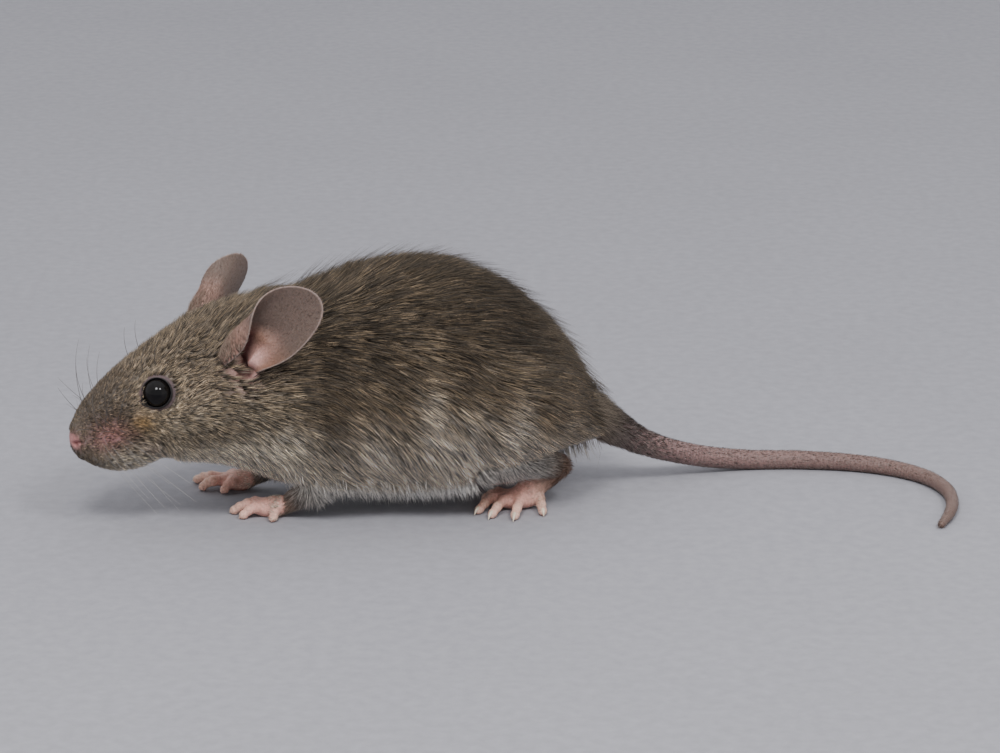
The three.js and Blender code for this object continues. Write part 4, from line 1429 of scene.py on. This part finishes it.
def lone_hairs(root, normal, way, length, lift, width, tints):
    """Straight hairs that stand by themselves, lifted by an angle from the skin."""
    count = len(root)
    side = np.cross(normal, way)
    way = unit(way + random.normal(0, SWAY["lone hair"], count)[:, None] * side)
    lift = lift * random.uniform(0.6, 1.4, count)
    length = length * random.uniform(0.7, 1.25, count)
    reach = length[:, None] * (np.cos(lift)[:, None] * way + np.sin(lift)[:, None] * normal)
    tip, middle = root + reach, root + reach / 2
    keep_above(LOWEST["lone hair"][0], middle)
    keep_above(LOWEST["lone hair"][1], tip)
    width = width * random.uniform(0.75, 1.2, count)
    return Hairs(root - normal * ROOT_SINK / 2, middle, tip, width, normal, tints)


ROOT_OVERLAP = 0.2  # how far inside another part's skin a root may lie
EAR_CLEARING = {"half width": 1.8, "from": 1, "to": 8}  # the cup's opening, bare of the body's coat


def clear_of_limbs(p):
    """Whether a root on the body lies outside the limbs, tail and ears that grow out there."""
    clear = nearest_on_tail(p)[1] > -ROOT_OVERLAP
    for name in LIMBS:
        clear &= limb_skin(name)(p) > -ROOT_OVERLAP
    q = into_head(p)
    for name in EARS:
        root, along, opening, front = ear_frame(name)
        off = q - root
        up = off @ along
        inside = (up > EAR_CLEARING["from"]) & (up < EAR_CLEARING["to"]) & (off @ opening > 0)
        clear &= ~(inside & (np.abs(off @ front) < EAR_CLEARING["half width"]))
    return clear


def body_place(p):
    """Where a root lies on an unwrap of the body round its own axis: along it and round it."""
    top, bottom, _, middle = trunk_lines(p[:, 0])
    return np.stack([p[:, 0], np.arctan2(p[:, 1] - middle, p[:, 2] - (top + bottom) / 2)], 1)


def head_place(p):
    q = into_head(p)
    return np.stack([q[:, 0], np.arctan2(q[:, 1], q[:, 2] - 1)], 1)


# The bare nose, and the places with fewer hairs: a place, a size and the share left out.
BARE_NOSE = [-0.3, 0.9, 0.0], [1.0, 1.7, 1.0]
SPARSE = [([23.4, 9.3, 6.0], [2.2, 2.6, 2.4], 0.5), (PAD_MARK[0], [2.2, 2.6, 1.7], 0.45)]
DENSE_HEAD = [[0, 6.0], [4, 4.0], [12, 2.4], [26, 1.2]]  # [back, hairs per area]


def head_density(p):
    q = into_head(p)
    m, back = both_cheeks(q), q[:, 0]
    bare = (spot(m, *BARE_NOSE) > 0.4) | (beside_canal(m) < 1.5) | (round_eye(m) < 0.42)
    share = 1 - sum(left_out * spot(m, at, size) for at, size, left_out in SPARSE)
    return row_size(DENSE_HEAD)(back) * share * ~bare * (back < 34) * (p[:, 0] < -30)


def trunk_density(p):
    return (into_head(p)[:, 0] > 30) | (p[:, 0] > -32)


def grow_body_coat(name, kind, density, locks, place_of, pieces):
    root, normal = scatter(body_points, body_faces, density, locks, clear_of_limbs)
    add_coat(name, locks_on_body(root, normal, kind), place_of, pieces, bent=False)


GUARD = {"length": (5.5, 8.5), "past outline": (0.2, 2.1), "width": (0.07, 0.12)}
FRINGE = {"length": (1.8, 3.6), "width": (0.08, 0.14), "sweep": 0.45, "sweep spread": 0.22, "splay": 0.35}


def grow_guard_hairs():
    """Long dark hairs that stand a little out of the coat along the back and rump."""
    on_back = lambda p: trunk_density(p) * smooth(height_share(p), 0.3, 0.8)
    root, normal = scatter(body_points, body_faces, on_back, GUARD_HAIRS)
    way = lie_of_coat(root, normal)
    way = unit(way + 0.25 * np.array([0, 0, 1.0]) * smooth(root[:, 0], -5, 12)[:, None])
    length = random.uniform(*GUARD["length"], len(root))
    tip = root + way * length[:, None]
    tip += normal * (random.uniform(*GUARD["past outline"], len(root)) - body_outline(tip))[:, None]
    middle = lerp(root, tip, 0.5) + normal * 0.5
    width = random.uniform(*GUARD["width"], len(root))
    hairs = Hairs(root, middle, tip, width, normal, down_hair(markings(root), 0.4, 0.45, 0.8))
    add_coat("coat_guard", hairs, body_place)


def grow_fringe():
    """Pale hairs that hang from the belly and the lower flanks."""

    def low(p):
        return trunk_density(p) * (1 - smooth(height_share(p), 0.05, 0.2)) * ((p[:, 0] < -4) | (p[:, 0] > 8))

    root, normal = scatter(body_points, body_faces, low, FRINGE_HAIRS)
    under = clear_of_limbs(root) & (normal[:, 2] < -0.2)
    root, normal = root[under], normal[under]
    count = len(root)
    back = random.normal(FRINGE["sweep"], FRINGE["sweep spread"], count)
    out = FRINGE["splay"] * np.sign(normal[:, 1]) * random.uniform(0, 1, count)
    way = np.stack([back, out, -np.ones(count)], 1)
    length = random.uniform(*FRINGE["length"], count)
    middle = root + unit(normal + 0.8 * way) * length[:, None] / 2
    tip = middle + unit(way) * length[:, None] / 2
    keep_above(LOWEST["fringe"][0], middle)
    keep_above(LOWEST["fringe"][1], tip)
    tints = down_hair(markings(root), 0.7, 1.1, 1.5) * random.uniform(0.7, 1.2, (count, 1, 1))
    width = random.uniform(*FRINGE["width"], count)
    add_coat("coat_fringe", Hairs(root - normal * ROOT_SINK, middle, tip, width, normal, tints), body_place)


# Sizes of the hairs down a limb, by its share from 0 at the body to 2 at the palm.
LIMB_DENSITY = [[0, 1.4], [0.8, 1.4], [1.5, 1.0], [2, 0.22]]
LIMB_LENGTH = [[0, 3.2], [0.5, 2.6], [0.9, 1.4], [1.3, 0.9], [2, 0.5]]
LIMB_WIDTH = [[0, 0.24], [0.8, 0.17], [1.2, 0.12], [2, 0.06]]
# Sizes of the hairs along the tail, by how far they are from its root.
TAIL_DENSITY = [[0, 3.0], [6, 2.2], [20, 1.2], [90, 1.0]]
TAIL_HAIR_LENGTH = [[0, 3.6], [4, 2.4], [10, 1.3], [20, 1.0], [90, 0.85]]
TAIL_HAIR_WIDTH = [[0, 0.22], [12, 0.15], [24, 0.1], [90, 0.08]]
LIMB_LIFT, TAIL_LIFT, EAR_LIFT = np.radians([10, 8, 10])


def grow_limb_hairs(name):
    """Fur on the thigh or upper arm, shorter down the leg, and a few hairs on the digits."""

    def density(p):
        return row_size(LIMB_DENSITY)(limb_share(name, p)[0]) * (p[:, 2] > 0.7)

    root, normal = scatter(*limb_shells[name], density, LIMB_HAIRS, lambda p: body_skin(p) > -0.4)
    share, way = limb_share(name, root)
    past = share > 1.97
    way[past] = unit((root - np.array(PAWS[name]["palm"])) * [1, 1, 0])[past]
    way = lerp(lie_of_coat(root, normal), way, smooth(share, 0.2, 0.9)[:, None])
    coat = mixed(markings(root) * 0.75, SHANK, smooth(share, 0.4, 1.0))
    tint = mixed(coat, PAW_HAIR, bareness(name, share)) * random.choice([0.5, 1.1, 2.0], (len(root), 1))
    length, width = row_size(LIMB_LENGTH)(share), row_size(LIMB_WIDTH)(share)
    tints = down_hair(tint, 0.5, 1.0, 1.35)
    hairs = lone_hairs(root, normal, flat_on(way, normal), length, LIMB_LIFT, width, tints)
    add_coat(f"coat_{name}", hairs, lambda p: np.stack([p[:, 0] + p[:, 1], p[:, 2]], 1), bent=False)


def from_tail_root(p):
    return nearest_on_tail(p)[0] / len(tail_rows) * tail_length


def tail_place(p):
    """Where a root lies on an unwrap of the tail: along it and round it."""
    row = nearest_on_tail(p)[0]
    off = p - tail_rows[row, :3]
    return np.stack([row, np.arctan2(off[:, 1], off[:, 2])], 1)


def grow_tail_hairs():
    """Fur at the tail's root that soon shortens to sparse bristles between the scales."""
    dense = lambda p: row_size(TAIL_DENSITY)(from_tail_root(p))
    root, normal = scatter(tail_points, tail_faces, dense, TAIL_HAIRS, lambda p: body_skin(p) > -0.3)
    tangent = unit(np.gradient(tail_rows[:, :3], axis=0))[nearest_on_tail(root)[0]]
    reach = from_tail_root(root)
    top = smooth(normal[:, 2], -0.5, 0.8)[:, None]
    bristle = lerp(TAIL_PALE_HAIR, TAIL_DARK_HAIR, random.uniform(size=(len(root), 1)) < 0.3 + 0.55 * top)
    fur = FLANK * random.choice([0.6, 1.5, 2.6], (len(root), 1))
    tints = down_hair(lerp(bristle, fur, (1 - smooth(reach, 1, 9))[:, None]), 0.7, 1.0, 1.1)
    length, width = row_size(TAIL_HAIR_LENGTH)(reach), row_size(TAIL_HAIR_WIDTH)(reach)
    hairs = lone_hairs(root, normal, tangent, length, TAIL_LIFT, width, tints)
    add_coat("coat_tail", hairs, tail_place, bent=False)


def grow_ear_hairs(name):
    """Fine fuzz on both faces of an ear, and fur on the outside of its front fold."""
    points, faces, place, inside = ear_shells[name]
    find = nearest_on(points)
    root, normal = scatter(points, faces, everywhere, EAR_HAIRS)
    nearest = find(root)[0]
    (x, y), inner = place[nearest].T, inside[nearest]
    fold, base = smooth(x, 0.0, 0.6) * (1 - smooth(y, -0.5, 0.3)), 1 - smooth(y, -0.8, -0.4)
    furred = (1 - inner) * np.maximum(0.8 * fold, base)
    kept = (body_skin(root) > -0.2) & (random.uniform(size=len(root)) < 0.45 + 0.55 * furred)
    kept &= ~((inner > 0.5) & (y < -0.45))
    root, normal, x, furred, nearest = (v[kept] for v in (root, normal, x, furred, nearest))
    _, along, _, front = ear_frame(name)
    way = 0.5 * x[:, None] * (HEAD_TURN @ front) + 0.6 * (HEAD_TURN @ along)
    fuzz = ear_colours(place, inside)[nearest] * random.choice([0.85, 1.5], (len(root), 1), p=[0.4, 0.6])
    fur = markings(root) * random.choice([0.5, 1.1, 1.8], (len(root), 1))
    tints = down_hair(mixed(fuzz, fur, furred), 0.8, 1.0, 1.15)
    length, width = lerp(0.5, 1.5, furred), lerp(0.045, 0.12, furred)
    hairs = lone_hairs(root, normal, flat_on(way, normal), length, EAR_LIFT, width, tints)
    add_coat(f"coat_ear_{name}", hairs._replace(root=root), lambda p: place[find(p)[0]], bent=False)


grow_body_coat("coat_head", HEAD_COAT_KIND, head_density, HEAD_LOCKS, head_place, 3)
grow_body_coat("coat_trunk", TRUNK_COAT_KIND, trunk_density, TRUNK_LOCKS, body_place, 6)
grow_guard_hairs()
grow_fringe()
for limb in LIMBS:
    grow_limb_hairs(limb)
grow_tail_hairs()
for ear in EARS:
    grow_ear_hairs(ear)

# ---------------------------------------------------------------- whiskers and claws

WHISKERS = 20  # on each side
WHISKER_WIDTH = [0.06, 0.018]  # half of it, at the root and the tip
WHISKER_LENGTH = [8, 15]
WHISKER_LOWEST = 0.3
WHISKER_RINGS, WHISKER_SIDES = 12, 4
WHISKER_DROOP = np.array([0.25, 0, -0.16])  # how far the tip hangs off its way, per length
# Each row on the pad, from the top one: its way as back, out and up, its share of the length and
# of the width, and how far it pales towards its tips.
WHISKER_ROWS = [
    [[-0.1, 0.4, 1.0], 1.0, 1.0, 0.25],
    [[-0.4, 0.5, 0.8], 0.8, 1.0, 0.25],
    [[-0.55, 0.6, 0.4], 0.6, 0.9, 0.35],
    [[0.45, 0.5, -0.8], 0.9, 0.6, 1.2],
    [[0.4, 0.35, -0.9], 0.8, 0.5, 1.2],
]
PAD_CORNER, PAD_STEP = np.array([3.0, 4.4, 2.4]), np.array([1.15, 0, -0.95])  # between whiskers
BROW_WHISKERS = [[11.4, 4.2, 8.8], [13.4, 4.6, 9.2]]  # places above the eye
BROW_WAY, BROW_LENGTH, BROW_FADE = np.array([-0.1, 0.3, 1.0]), 6.5, 0.25
CLAW_RINGS, CLAW_SIDES = 9, 10


def joined(shells):
    """Several meshes' points and faces as one."""
    starts = np.cumsum([0] + [len(points) for points, _ in shells])
    faces = np.concatenate([own + start for (_, own), start in zip(shells, starts)])
    return np.concatenate([points for points, _ in shells]), faces


def whisker(at, way, length, bulk):
    """A long hair that leaves the skin at a place of the head, along a way, and droops back."""
    place = settle(body_skin, from_head([at]), 3)[0]
    t = np.linspace(0, 1, WHISKER_RINGS)[:, None]
    centre = place + (HEAD_TURN @ unit(way)) * length * t + WHISKER_DROOP * length * t**2
    keep_above(WHISKER_LOWEST, centre)
    return tube(np.c_[centre, bulk * lerp(*WHISKER_WIDTH, t)], WHISKER_SIDES)


def add_whiskers():
    """Rows of whiskers on both pads: the upper ones stand up, the lower ones sweep down and back."""
    shells, fades = [], []
    for side in SIDES.values():
        mirror = np.array([1, side, 1])
        for i in range(WHISKERS):
            column, row = divmod(i, len(WHISKER_ROWS))
            way, reach, bulk, fade = WHISKER_ROWS[row]
            at = PAD_CORNER + PAD_STEP * [column, 0, row] + random.uniform(-0.2, 0.2, 3)
            way = (way + random.normal(0, 0.16, 3) + [0.04 * column, 0, 0]) * mirror
            length = random.uniform(*WHISKER_LENGTH) * reach
            shells.append(whisker(at * mirror, way, length, bulk))
            fades.append(fade)
        for at in BROW_WHISKERS:
            shells.append(whisker(at * mirror, BROW_WAY * mirror, BROW_LENGTH, 1))
            fades.append(BROW_FADE)
    shades = [np.linspace(0, fade, len(points)) for (points, _), fade in zip(shells, fades)]
    mesh = mesh_from("whiskers", *joined(shells))
    set_tint(mesh, mixed(WHISKER_ROOT, WHISKER_END, np.concatenate(shades)))
    add_piece("whiskers", mesh, HAIR)


def add_claws(name):
    """One paw's claws, bent down to the floor at the digits' ends."""
    palm, digits, side = PAWS[name]["palm"], PAWS[name]["digits"], SIDES[name.split("_")[1]]
    curves = [curve_through(along_digit(palm, side, digit, CLAW), CLAW_RINGS) for digit in digits]
    points, faces = joined([tube(curve, CLAW_SIDES) for curve in curves])
    keep_above(FLOOR + OFF_FLOOR, points)
    label = f"claws_{PAW_NODES[name]}"
    mesh = mesh_from(label, points, faces)
    set_tint(mesh, mixed(CLAW_ROOT, CLAW_END, smooth(from_palm(name, points), 4, 6.5)))
    add_piece(label, mesh, CLAWS)


add_whiskers()
for limb in LIMBS:
    add_claws(limb)

# ---------------------------------------------------------------- eyes

EYE_BLACK, IRIS = srgb(6, 5, 6), srgb(17, 15, 15)
PUPIL_EDGE, IRIS_EDGE = (20, 26), (50, 60)  # degrees from the middle of the pupil


def ball(radius, rings=24, spokes=40):
    """A closed ball of triangles about the origin."""
    rise = np.linspace(-np.pi / 2, np.pi / 2, rings + 1)[1:-1, None]
    turn = np.arange(spokes) * 2 * np.pi / spokes
    ring = np.cos(rise) * np.cos(turn), np.cos(rise) * np.sin(turn), np.sin(rise) + 0 * turn
    points = np.concatenate([[[0, 0, -1]], np.stack(ring, -1).reshape(-1, 3), [[0, 0, 1]]]) * radius
    n, last = np.arange(spokes), len(points) - 1
    top = np.stack([last - spokes + n, last - spokes + (n + 1) % spokes, last + 0 * n], 1)
    return points, np.concatenate([disc(rings - 1, spokes)[:, ::-1], top])


for name, side in SIDES.items():
    points, faces = ball(EYE_RADIUS)
    mesh = mesh_from(f"eye_{name}", points + from_head(np.array(EYE_AT) * [1, side, 1]), faces)
    look = HEAD_TURN @ (eye_out * [1, side, 1])
    from_pupil = np.degrees(np.arccos(np.clip(unit(points) @ look, -1, 1)))
    iris = smooth(from_pupil, *PUPIL_EDGE) * (1 - smooth(from_pupil, *IRIS_EDGE))
    set_tint(mesh, mixed(EYE_BLACK, IRIS, iris))
    add_piece(f"eyeball_{name}", mesh, EYE, [f"eye_{name}"])

# ---------------------------------------------------------------- floor, light and camera

# The camera looks along +Y and a little down at a point above the middle of the figure.
AIM = np.array([0, 0, 19.9])
CAMERA = {"distance": 600, "elevation": 17, "lens": 142.56}
FLOOR_REACH = 1500
# Soft square lamps: azimuth (0 is the camera's side, 90 the tail's), elevation, distance, size, power.
LAMPS = {
    "key": [-12, 50, 640, 160, 2.6],
    "second": [30, 47, 640, 130, 1.7],
    "overhead": [0, 80, 1000, 900, 0.7],
}
WORLD_COLOUR, WORLD_BRIGHTNESS = (0.96, 0.97, 1.0, 1), 1.0


def point_at(ob, place, aim):
    ob.location = place
    ob.rotation_euler = (Vector(aim) - Vector(place)).to_track_quat("-Z", "Y").to_euler()


def add_camera():
    data = bpy.data.cameras.new("camera")
    data.lens = CAMERA["lens"]
    data.sensor_width = 36
    data.clip_start, data.clip_end = 0.01, 10
    camera = bpy.data.objects.new("camera", data)
    bpy.context.scene.collection.objects.link(camera)
    rise = math.radians(CAMERA["elevation"])
    back = np.array([0, -math.cos(rise), math.sin(rise)]) * CAMERA["distance"]
    point_at(camera, (AIM + back) * MM + SHIFT, AIM * MM + SHIFT)
    bpy.context.scene.camera = camera


def add_floor():
    corners = np.array([[-1, -1, 0], [1, -1, 0], [1, 1, 0], [-1, 1, 0]]) * FLOOR_REACH
    mesh = mesh_from("floor", corners, np.array([[0, 1, 2], [0, 2, 3]]))
    mesh.materials.append(floor_material())
    floor = bpy.data.objects.new("floor", mesh)
    bpy.context.scene.collection.objects.link(floor)


def add_lamp(name, azimuth, elevation, distance, size, power):
    """A lamp aimed at the figure."""
    data = bpy.data.lights.new(name, "AREA")
    data.size = size * MM
    data.energy = power
    lamp = bpy.data.objects.new(name, data)
    bpy.context.scene.collection.objects.link(lamp)
    a, e = math.radians(azimuth), math.radians(elevation)
    way = np.array([math.sin(a) * math.cos(e), -math.cos(a) * math.cos(e), math.sin(e)])
    point_at(lamp, (AIM + way * distance) * MM, AIM * MM)


def add_world():
    world = bpy.data.worlds.new("world")
    world.use_nodes = True
    background = world.node_tree.nodes["Background"]
    background.inputs["Color"].default_value = WORLD_COLOUR
    background.inputs["Strength"].default_value = WORLD_BRIGHTNESS
    bpy.context.scene.world = world


add_camera()
add_floor()
for name, setting in LAMPS.items():
    add_lamp(name, *setting)
add_world()
